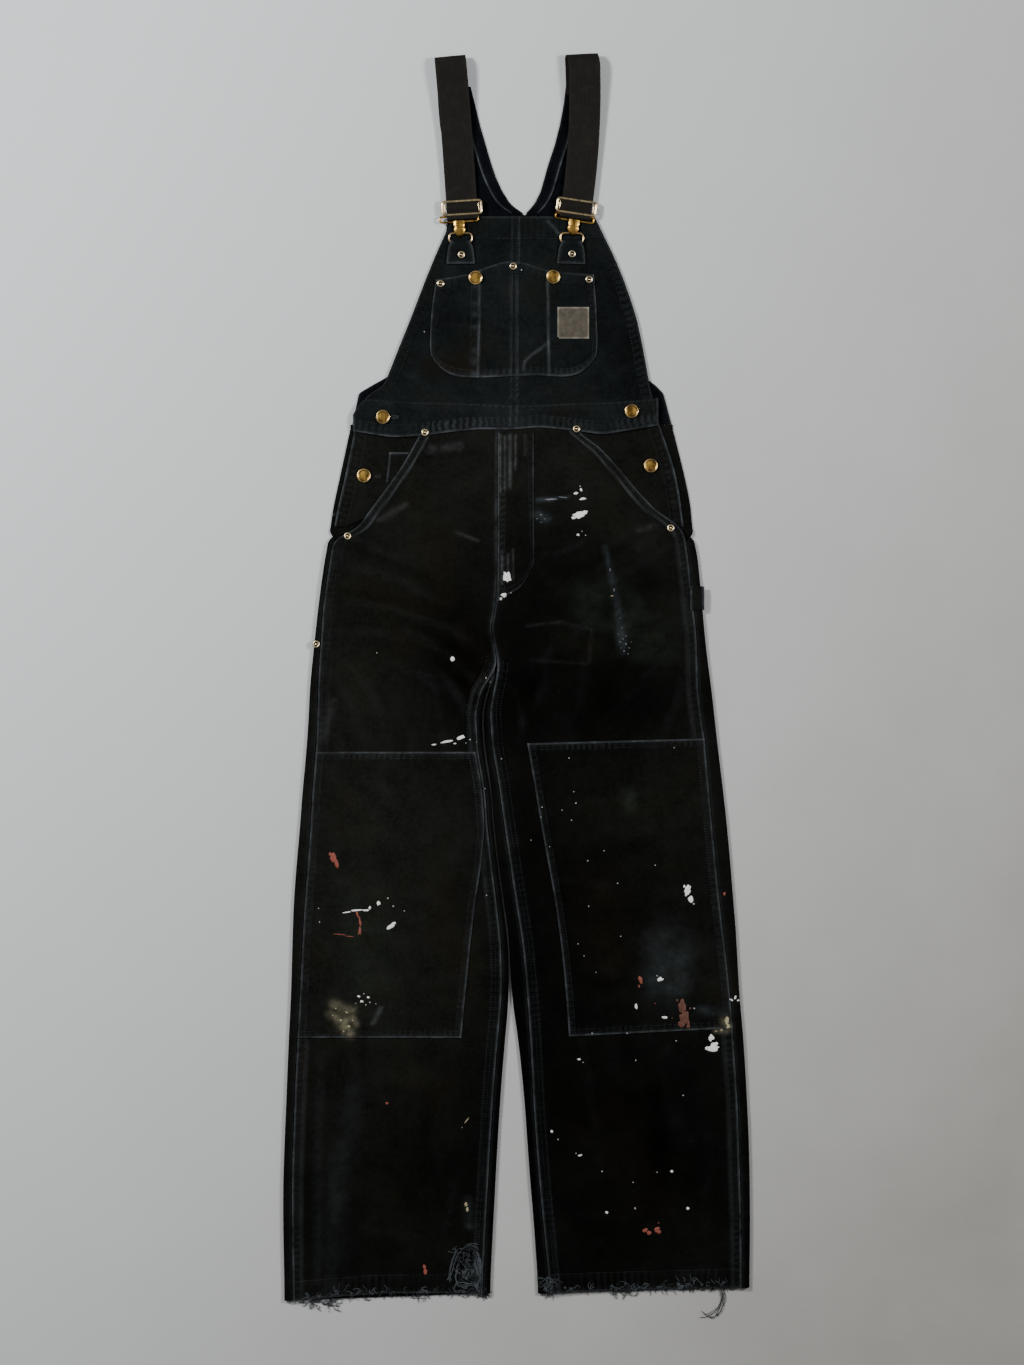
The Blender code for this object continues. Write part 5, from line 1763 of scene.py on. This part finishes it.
# Paint. Each blob's middle, width, height and lean in degrees, in the photograph's pixels.
WHITE = table(
    "x y wide tall lean",
    (507, 577, 8, 10, 20), (504, 595.4, 5, 5, 0), (501, 599, 2.6, 3, 0), (511, 593, 2, 2, 0),
    (579.2, 515, 12, 6.5, 10), (573.5, 518, 4, 3, 0), (585, 512.5, 5, 4, 0), (582.8, 499, 6, 2.6, 5),
    (575.8, 493.5, 4.4, 2.6, 15), (581, 490, 2.6, 3.2, 0), (580, 486.5, 2, 1.6, 0),
    (578, 535, 2.8, 2.6, 0), (582, 531.5, 1.6, 1.6, 0), (585.5, 535.5, 1.4, 1.6, 0),
    (452.6, 659, 4.4, 5, 0), (377, 653, 1.6, 1.6, 0), (486, 678, 1.8, 2.2, 0),
    (460.8, 737.5, 9, 3.4, 18), (447, 741.5, 13, 2.2, 10), (434, 744.6, 5, 1.4, 0),
    (470, 739.5, 2.4, 2, 0), (476.5, 742, 1.6, 1.4, 0), (466, 743, 1.6, 1.4, 0), (455, 743.5, 3, 1.4, 0),
    (485, 788.5, 1.8, 1.8, 0), (486.5, 895, 1.8, 1.8, 0),
    (347, 912, 9, 1.2, 8), (357, 910, 12, 1.7, 4), (366, 910, 7, 1.8, 0), (370, 907.5, 2, 4, -10),
    (378.7, 903, 3.6, 4.6, 0), (388, 898, 2.4, 2, 0), (393.4, 906, 2.6, 2, 0), (404.4, 910.7, 1.6, 1.6, 0),
    (391, 926, 9, 4.4, 40), (394, 923, 4, 3, 0), (318.8, 908, 1.8, 1.6, 0), (319.8, 921.7, 1.6, 2.2, 0),
    (359, 996, 3, 2.4, 0), (364, 993.4, 2, 1.8, 0), (368.4, 997, 2.8, 2.2, 0), (362, 1001, 3.6, 2.2, 0),
    (370, 1002, 2.4, 2, 0), (366, 1004.5, 2, 1.6, 0), (376, 1003.4, 1.8, 1.6, 0), (356, 1003, 1.6, 1.6, 0),
    (687.3, 890, 6.5, 10, -14), (690.5, 899, 5, 7, 20), (693.5, 903.5, 2.6, 2.6, 0), (684, 886, 2, 3, 0),
    (660, 979, 6, 4, 10), (657, 975.5, 2, 2, 0), (636, 1006, 3, 5, 0), (664.5, 1017, 6, 2.4, 0),
    (694, 1008, 2.4, 2.2, 0), (731, 999.5, 4, 1.8, -20), (735, 997, 2, 4, -20), (738, 1000, 3, 1.6, 20),
    (711, 1037.5, 5, 7, 8), (713, 1047.4, 12, 7.5, 4), (707, 1048, 4.4, 3.6, 0), (716, 1043.4, 4, 3.4, 0),
    (627, 1033, 2.6, 2.4, 0), (592, 1033, 2.4, 2.2, 0), (573.6, 791.6, 1.6, 1.6, 0),
    (575.8, 803, 2, 2, 0), (562, 810, 1.6, 1.6, 0), (571.4, 820, 1.8, 1.6, 0), (542, 807, 1.8, 1.8, 0),
    (541, 817, 1.6, 1.6, 0), (587.7, 860.6, 2, 2, 0), (617.5, 883, 1.6, 1.6, 0), (655, 865, 1.6, 1.6, 0),
    (588.6, 906, 1.6, 1.8, 0), (531, 840, 1.4, 1.6, 0), (549.5, 846.5, 1.6, 1.4, 0),
    (604, 850.5, 1.8, 1.6, 0), (620.6, 936, 1.6, 1.6, 0), (578, 943.6, 1.8, 1.8, 0),
    (584, 955.5, 1.4, 1.4, 0), (596, 972, 1.6, 1.4, 0), (569, 758, 1.8, 1.8, 0),
    (501.5, 758.7, 1.6, 1.6, 0), (674, 747.7, 1.8, 1.6, 0), (579, 1059, 3, 2.4, 0),
    (583, 1062, 1.8, 1.6, 0), (635.7, 1060, 1.8, 1.8, 0), (551.7, 1131, 2.8, 2.8, 0),
    (558, 1139, 1.8, 1.8, 0), (580, 1155, 4, 2, 10), (576, 1153, 1.6, 1.6, 0), (602, 1171, 2, 2, 0),
    (671.7, 1171, 3, 2.8, 0), (657, 1172, 2, 1.8, 0), (633, 1182, 1.8, 1.6, 0), (606.7, 1212, 3, 2.6, 0),
    (635, 1208, 2.2, 2.6, 0), (687.7, 1208, 3, 3, 0), (424.5, 332, 1.6, 1.6, 0), (521.5, 270.5, 2, 1.8, 0),
    (683, 1095, 2, 1.6, 0), (676, 1040.5, 1.8, 1.8, 0),
)
RED = table(
    "x y wide tall lean",
    (334, 858, 6.5, 11, 28), (337, 864, 4.5, 7, 10), (330.5, 854, 3, 4, 0),
    (357.5, 914, 2.2, 7, 16), (360.2, 921.5, 2.4, 9, 6), (360, 930.5, 2.6, 9, -4),
    (340, 934, 13, 0.9, -6), (350, 936, 9, 0.9, -4), (640.4, 979.6, 3.6, 8.5, 8), (639, 986, 2, 3, 0),
    (724, 893.5, 2.6, 3.4, 0), (387, 1103, 2.8, 3, 0), (424.6, 1267, 3.4, 5.5, 8), (425.4, 1271.5, 4, 5, 0),
    (645, 1230, 5, 4.4, 30), (649, 1232.5, 4.4, 4.6, -20), (656.8, 1229, 6, 4.6, 20), (659, 1231.5, 4, 4, 0),
    (658.5, 1222.5, 1.6, 2.4, 0), (655, 1003, 1.6, 1.6, 0),
)
RUST = table(
    "x y wide tall lean",
    (682, 1006, 7, 15, 4), (684.5, 1018, 10, 14, 14), (681, 1024, 6, 7, 0), (688, 1026, 4, 5, 0),
    (677, 1000, 2.4, 3, 0), (690, 1008, 2, 3, 0), (672, 1018, 2, 2, 0),
)
CREAM = table(
    "x y wide tall lean",
    (466, 1204, 3, 4.4, 0), (467.4, 1209, 2.8, 4.4, 0), (466.7, 1120, 8, 0.9, 52), (462, 1127, 2, 0.8, 40),
    (726.5, 1020, 4.6, 7.5, 0), (728, 1026, 4, 5, 0), (721, 1029.5, 3.4, 2.4, 0), (716, 1031, 2, 1.6, 0),
    (336, 1008, 2.6, 1.6, 20), (347, 1012, 3.4, 1.6, -30), (341, 1020, 3, 2, 10), (349, 1026, 3.4, 2.4, -20),
    (344, 1031, 2.6, 2, 0), (333, 1015, 2, 1.4, 0), (353, 1020, 2, 2.4, 0), (612, 596, 3, 0.9, 10),
)
GREY = table(
    "x y wide tall lean",
    (620, 642, 1.8, 2.2, 0), (623, 639, 1.6, 1.6, 0), (626, 644, 2.2, 2.6, 0), (629, 648, 1.8, 1.8, 0),
    (624, 651, 2, 2.2, 0), (628, 654, 1.6, 1.6, 0), (631, 642, 1.4, 1.4, 0), (621, 648, 1.4, 1.4, 0),
    (626, 636, 1.6, 1.8, 0), (618, 634, 1.4, 1.4, 0), (622, 628, 1.2, 1.8, 0), (620, 618, 1.2, 1.6, 0),
    (610, 570, 1, 4, 0), (614, 590, 1, 3.4, 0), (541, 515, 3, 1.2, 20), (545, 519, 2.4, 1.4, -10),
    (537, 519, 2.4, 1.2, 0), (541, 522.5, 2, 1, 0), (551, 499.5, 12, 1.8, 2), (563, 497.5, 9, 0.9, -6),
)


# The waves round a blob's edge, how strong they can be, how thick a blob can be, and how far
# its rim stands above the cloth.
EDGE_WAVES = (2, 3, 4, 5, 7)
RAGGED = 0.22
THICKEST = 0.5
PAINT_LIFT = 0.10
PAINT_WALL = 0.35


def blob(mesh, x, y, wide, tall, lean, rng):
    """One spot of paint with an uneven outline, laid over the cloth."""
    across, up = from_photo(x, y)
    cells = int(np.clip(max(wide, tall) * 0.9 + 2, 4, 12))
    made = bmesh.ops.create_grid(mesh, x_segments=cells, y_segments=cells, size=1.0)
    waves = [(k, rng.uniform(-RAGGED, RAGGED) / k**0.4, rng.uniform(0, 6.3)) for k in EDGE_WAVES]
    c, s = math.cos(math.radians(lean)), math.sin(math.radians(lean))
    half_wide, half_tall = 0.5 * wide * PHOTO_SCALE, 0.5 * tall * PHOTO_SCALE
    thick = min(0.16 * min(half_wide, half_tall) + 0.12, THICKEST)
    for vertex in made["verts"]:
        u, v = vertex.co.x, vertex.co.y
        u, v = u * math.sqrt(1 - v * v / 2), v * math.sqrt(1 - u * u / 2)
        turn = math.atan2(v, u)
        ragged = 1 + sum(size * math.cos(k * turn + start) for k, size, start in waves)
        far = min(math.hypot(u, v), 1.0)
        x = u * ragged * half_wide
        y = v * ragged * half_tall
        place = (across + x * c - y * s, up + x * s + y * c)
        high = top_at(cloth, *place) + PAINT_LIFT + thick * (1 - far**3)
        vertex.co = (place[0] * MM, (place[1] - HALF_LENGTH) * MM, high * MM)


# Spots smaller than this, in pixels, are specks, and each is laid at this share of its size.
SPECK = 2.7
SPECK_SHARE = 0.74


def paint(name, rows, material, seed, specks=None):
    """The spots of one paint. Where specks is given, it tells the small spots from the rest."""
    rng = np.random.default_rng(seed)
    mesh = bmesh.new()
    for x, y, wide, tall, lean in zip(*rows.values()):
        small = max(wide, tall) < SPECK
        if specks is None or small == specks:
            share = SPECK_SHARE if small else 1.0
            blob(mesh, x, y, share * wide, share * tall, lean, rng)
    wall(link(name, mesh_data(name, mesh), material), PAINT_WALL)


paint("paint_white", WHITE, white_paint, 301, specks=False)
paint("paint_specks", WHITE, speck_paint, 306, specks=True)
paint("paint_red", RED, red_paint, 302)
paint("paint_rust", RUST, rust_paint, 303)
paint("paint_cream", CREAM, cream_paint, 304)
paint("paint_grey", GREY, grey_paint, 305)

# Frayed threads. A spray of them: the middle of its roots in the photograph's pixels, the half
# sizes of the patch they spring from, their heading from straight down, their length in
# millimetres, how much they curl, and how many there are.
SPRAYS = table(
    "x y wide tall heading length curl count",
    (300, 1301, 12, 1, -5, 5, 0.6, 16),
    (318, 1301, 10, 2, -20, 13, 1.4, 16),
    (332, 1303, 7, 3, 30, 13, 1.8, 10),
    (350, 1299, 20, 1, 10, 5, 0.9, 18),
    (395, 1296, 28, 1, 0, 4, 0.8, 22),
    (423, 1295, 6, 2, 15, 12, 1.3, 9),
    (428, 1290, 12, 2, 60, 10, 1.2, 6),
    (460, 1295, 22, 1, 0, 4, 0.8, 16),
    (485, 1290, 4, 5, -30, 6, 1.0, 16),
    (549, 1284, 6, 9, 0, 13, 1.6, 18),
    (580, 1292, 25, 1, 0, 4, 0.8, 14),
    (622, 1291, 14, 1, -10, 14, 1.8, 14),
    (640, 1289, 20, 1, 10, 6, 1.2, 20),
    (670, 1289, 20, 1, 0, 8, 1.6, 18),
    (700, 1288, 16, 1, 0, 6, 1.2, 14),
    (722, 1288, 10, 1, -10, 7, 1.2, 10),
    (739, 1288, 8, 1, 0, 4, 0.8, 8),
    (640, 1283, 40, 2, 80, 12, 1.0, 10),
    (350, 1291, 40, 2, 95, 12, 1.0, 8),
)
# The long threads hanging from the left hem: points in the photograph's pixels.
LONG_THREADS = (
    ((720, 1286), (723, 1296), (719, 1307), (710, 1315), (699, 1318)),
    ((722, 1286), (725.5, 1297), (722, 1309), (717, 1316), (716, 1312)),
    ((718, 1286), (721, 1298), (719, 1310), (712, 1318), (703, 1312)),
    ((721, 1287), (722, 1299), (716, 1309), (706, 1314), (701, 1310)),
    ((724, 1287), (724, 1300), (721, 1311), (713, 1317), (708, 1315)),
)
# The torn place above the right hem: its pale threads.
TORN_THREADS = (
    ((462, 1249), (468, 1245.5), (475, 1246), (480, 1250)),
    ((460, 1252), (466, 1247.5), (474, 1248.5), (479, 1254)),
    ((464, 1246), (471, 1243.5), (478, 1244.5)),
    ((474, 1249), (478, 1260), (477, 1274), (480, 1288)),
    ((476, 1250), (480.5, 1262), (480, 1277), (477, 1290)),
    ((478, 1252), (482.5, 1264), (482, 1279), (483, 1291)),
    ((474.5, 1256), (476, 1267), (479, 1277), (476, 1286)),
    ((473.5, 1262), (477.5, 1270), (475, 1281), (479, 1291)),
    ((480, 1256), (478.5, 1268), (481.5, 1282), (480, 1293)),
    ((457, 1249), (452, 1262), (449.5, 1276), (451, 1282)),
    ((459, 1251), (455, 1262), (452, 1273), (447, 1279)),
    ((460, 1256), (457, 1266), (455.5, 1277), (458, 1286)),
    ((456, 1282), (463, 1281), (470, 1282.5), (476, 1280)),
    ((458, 1284), (464, 1285), (472, 1283), (478, 1286)),
    ((462, 1262), (467, 1268), (465, 1275), (469, 1280)),
    ((470, 1252), (466, 1261), (468.5, 1271), (464, 1279)),
    ((458, 1280), (453, 1287), (455, 1291), (461, 1289)),
)
# The short threads round the torn place: its middle and half sizes in pixels, how many there
# are, their length, and how much they curl.
TORN_MIDDLE = (466, 1263)
TORN_HALF = (7.5, 13.5)
TORN_COUNT = 26
TORN_LENGTH = 8
TORN_CURL = 1.5
# Pale threads that lie along the worn hems, in the same terms.
PALE_FRAY = table(
    "x y wide tall heading length count",
    (322, 1298, 22, 3, 90, 13, 22),
    (312, 1302, 12, 4, 20, 9, 12),
    (332, 1305, 6, 5, 10, 9, 10),
    (365, 1293, 34, 2, 88, 15, 18),
    (405, 1292, 22, 2, 84, 12, 12),
    (424, 1291, 7, 5, 30, 9, 14),
    (462, 1291, 14, 3, 80, 9, 14),
    (465, 1262, 8, 12, 20, 8, 30),
    (463, 1266, 7, 10, 100, 9, 26),
    (473, 1268, 4, 14, 0, 9, 18),
    (462, 1252, 8, 3, 80, 9, 14),
    (484, 1290, 3, 6, 10, 8, 14),
    (549, 1283, 6, 8, 10, 12, 26),
    (575, 1288, 18, 2, 86, 12, 8),
    (625, 1289, 16, 3, 80, 15, 20),
    (655, 1286, 30, 3, 92, 15, 26),
    (700, 1284, 24, 3, 84, 13, 18),
    (722, 1281, 8, 3, 40, 10, 8),
)


PALE_CURL = 1.3
PALE_EXTRA = 0.12
STRAND_POINTS = 9
STRAND_SIZES = (0.18, 0.34)
LONG_SIZE = 0.38
TORN_SIZES = (0.25, 0.5)
# The height that a thread's root has where no cloth lies under it, and elsewhere, and the
# highest that a root can be.
BARE_ROOT = 3.0
BARE_FLOOR = 0.2
HIGHEST_ROOT = 7.0


def strand(mesh, rng, x, y, heading, length, curl, extra=0.0):
    """One loose thread that wanders off and sinks to the floor."""
    across, up = from_photo(x, y)
    turn = math.radians(heading) + rng.normal(0, 0.5)
    length = length * rng.uniform(0.5, 1.3)
    count = STRAND_POINTS
    bend = rng.normal(0, curl, 3)
    high = min(top_at(cloth, across, up, BARE_ROOT), HIGHEST_ROOT)
    points = [(across, up, high + 0.2)]
    for number in range(1, count):
        turn += (bend[0] + bend[1] * math.sin(number) + bend[2] * math.cos(2 * number)) * 3.0 / count
        across -= math.sin(turn) * length / count
        up -= math.cos(turn) * length / count
        under = top_at(cloth, across, up, BARE_FLOOR)
        points.append((across, up, under + 0.35 + 0.5 * rng.random()))
    radius = np.full(count, rng.uniform(*STRAND_SIZES) + extra)
    radius[[0, -1]] = 0
    tube(mesh, points, radius, 5)


def hand_thread(mesh, points, radius, rng):
    """One thread along given points."""
    route = smooth_route(np.stack(from_photo(*np.array(points, float).T), 1), 1.8)
    route += rng.normal(0, 0.22, route.shape)
    high = np.array([top_at(cloth, *place, BARE_FLOOR) for place in route])
    high = np.clip(high, 0.3, None) + 0.35 + rng.uniform(0, 0.5)
    sizes = np.full(len(route), radius)
    sizes[[0, -1]] = 0
    tube(mesh, np.column_stack([route, high]), sizes, 5)


FRAY_SEED = 401


def frayed():
    """The dark threads at the hems, then the pale ones and the torn place."""
    rng = np.random.default_rng(FRAY_SEED)
    mesh = bmesh.new()
    for x, y, wide, tall, heading, length, curl, count in zip(*SPRAYS.values()):
        for _ in range(int(count)):
            root = (x + rng.uniform(-wide, wide), y + rng.uniform(-tall, tall))
            strand(mesh, rng, *root, heading, length, curl)
    for points in LONG_THREADS:
        hand_thread(mesh, points, LONG_SIZE, rng)
    closed_piece("frayed_threads", mesh, black_thread)
    mesh = bmesh.new()
    for x, y, wide, tall, heading, length, count in zip(*PALE_FRAY.values()):
        for _ in range(int(count)):
            root = (x + rng.uniform(-wide, wide), y + rng.uniform(-tall, tall))
            turn = heading + rng.normal(0, 14)
            strand(mesh, rng, *root, turn, length, PALE_CURL, PALE_EXTRA)
    for points in TORN_THREADS:
        for _ in range(3):
            shift = rng.normal(0, 0.8, 2)
            hand_thread(mesh, np.array(points) + shift, rng.uniform(*TORN_SIZES), rng)
    for _ in range(TORN_COUNT):
        turn = rng.uniform(0, 2 * math.pi)
        out = rng.uniform(0.9, 1.35)
        x = TORN_MIDDLE[0] + TORN_HALF[0] * out * math.cos(turn)
        y = TORN_MIDDLE[1] + TORN_HALF[1] * out * math.sin(turn)
        strand(mesh, rng, x, y, math.degrees(turn) + 90, TORN_LENGTH, TORN_CURL)
    closed_piece("torn_threads", mesh, frayed_thread)


frayed()


# The ends of two buttonholes show beside their buttons: middle in the photograph's pixels,
# length, and lean in degrees. Both have the same width, round corners and cord.
BUTTONHOLES = ((394.0, 417.5, 10.0, 0.0), (378.0, 476.5, 6.0, 10.0))
HOLE_WIDTH = 2.6
HOLE_CORNER = 1.2
HOLE_CORD = 0.55


def buttonholes():
    """A sewn cord round the end of each buttonhole."""
    mesh = bmesh.new()
    for x, y, length, lean in BUTTONHOLES:
        across, up = from_photo(x, y)
        turn = math.radians(lean)
        ring = rounded(length, HOLE_WIDTH, HOLE_CORNER, 5)
        ring = ring @ np.array([[math.cos(turn), math.sin(turn)], [-math.sin(turn), math.cos(turn)]])
        ring += (across, up)
        high = np.array([top_at(cloth, *place) for place in ring]) + 0.1
        tube(mesh, np.column_stack([ring, high]), HOLE_CORD, 6, 0.7, closed=True)
    closed_piece("buttonholes", mesh, black_thread)


buttonholes()

# Floor, camera and lights
FLOOR_TURN = 210.0
FLOOR_HALF = 4.0
FLOOR_DROP = 0.0006
FLOOR_DARK = (0.270, 0.258, 0.235)
FLOOR_BRIGHT = (0.690, 0.720, 0.735)
FLOOR_CLOUD = (0.68, 0.69, 0.69)


def stage():
    """The pale floor, which isn't part of the garment."""
    floor_mesh = bmesh.new()
    bmesh.ops.create_grid(floor_mesh, x_segments=1, y_segments=1, size=FLOOR_HALF)
    data = mesh_data("floor", floor_mesh)
    floor = bpy.data.objects.new("floor", data)
    floor.location = (0, 0, -FLOOR_DROP)
    bpy.context.scene.collection.objects.link(floor)
    material, tree, shader = new_material("pale floor", 0.75, specular=0.2)
    node = Nodes(tree)
    # Brightest towards the upper left, as the light falls in the photograph.
    towards = tree.nodes.new("ShaderNodeSeparateXYZ")
    node.join(node.mapped(turn=math.radians(FLOOR_TURN)), towards.inputs["Vector"])
    bright = node.ramp(towards.outputs["X"], -0.8, 0.8)
    base = node.mix(bright, FLOOR_DARK, FLOOR_BRIGHT)
    clouds = node.ramp(node.noise(5.0, 5.0, 0.6), 0.3, 0.75)
    base = node.mix(node.math("MULTIPLY", clouds, 0.12), base, FLOOR_CLOUD)
    node.join(base, shader.inputs["Base Color"])
    data.materials.append(material)


CAMERA_LENS = 100.0
SENSOR = 36.0
FARTHEST = 20.0


def camera():
    """Straight above, so that the picture's height shows as much as the photograph's."""
    tall = PHOTO_TALL * PHOTO_SCALE
    across, up = from_photo(PHOTO_WIDE / 2, PHOTO_TALL / 2)
    data = bpy.data.cameras.new("camera")
    data.lens = CAMERA_LENS
    data.sensor_fit = "VERTICAL"
    data.sensor_height = SENSOR
    data.clip_end = FARTHEST
    item = bpy.data.objects.new("camera", data)
    item.location = (across * MM, (up - HALF_LENGTH) * MM, tall * MM * CAMERA_LENS / SENSOR)
    bpy.context.scene.collection.objects.link(item)
    bpy.context.scene.camera = item


SKY = (0.95, 0.97, 1.0, 1)
SKY_STRENGTH = 0.22
# The lamps: where each stands in metres, its size and its power.
LIGHTS = table(
    "x y z size power",
    (-1.9, 1.2, 2.4, 0.6, 92),
    (1.9, 0.5, 2.4, 0.6, 58),
)


def lights():
    """Two large lamps and a pale sky."""
    for number, (x, y, z, size, power) in enumerate(zip(*LIGHTS.values())):
        data = bpy.data.lights.new(f"light {number}", "AREA")
        data.size = size
        data.energy = power
        item = bpy.data.objects.new(f"light {number}", data)
        item.location = (x, y, z)
        item.rotation_euler = Vector((-x, -y, -z)).to_track_quat("-Z", "Y").to_euler()
        bpy.context.scene.collection.objects.link(item)
    world = bpy.data.worlds.new("studio")
    world.use_nodes = True
    sky = world.node_tree.nodes["Background"]
    sky.inputs["Color"].default_value = SKY
    sky.inputs["Strength"].default_value = SKY_STRENGTH
    bpy.context.scene.world = world


stage()
camera()
lights()
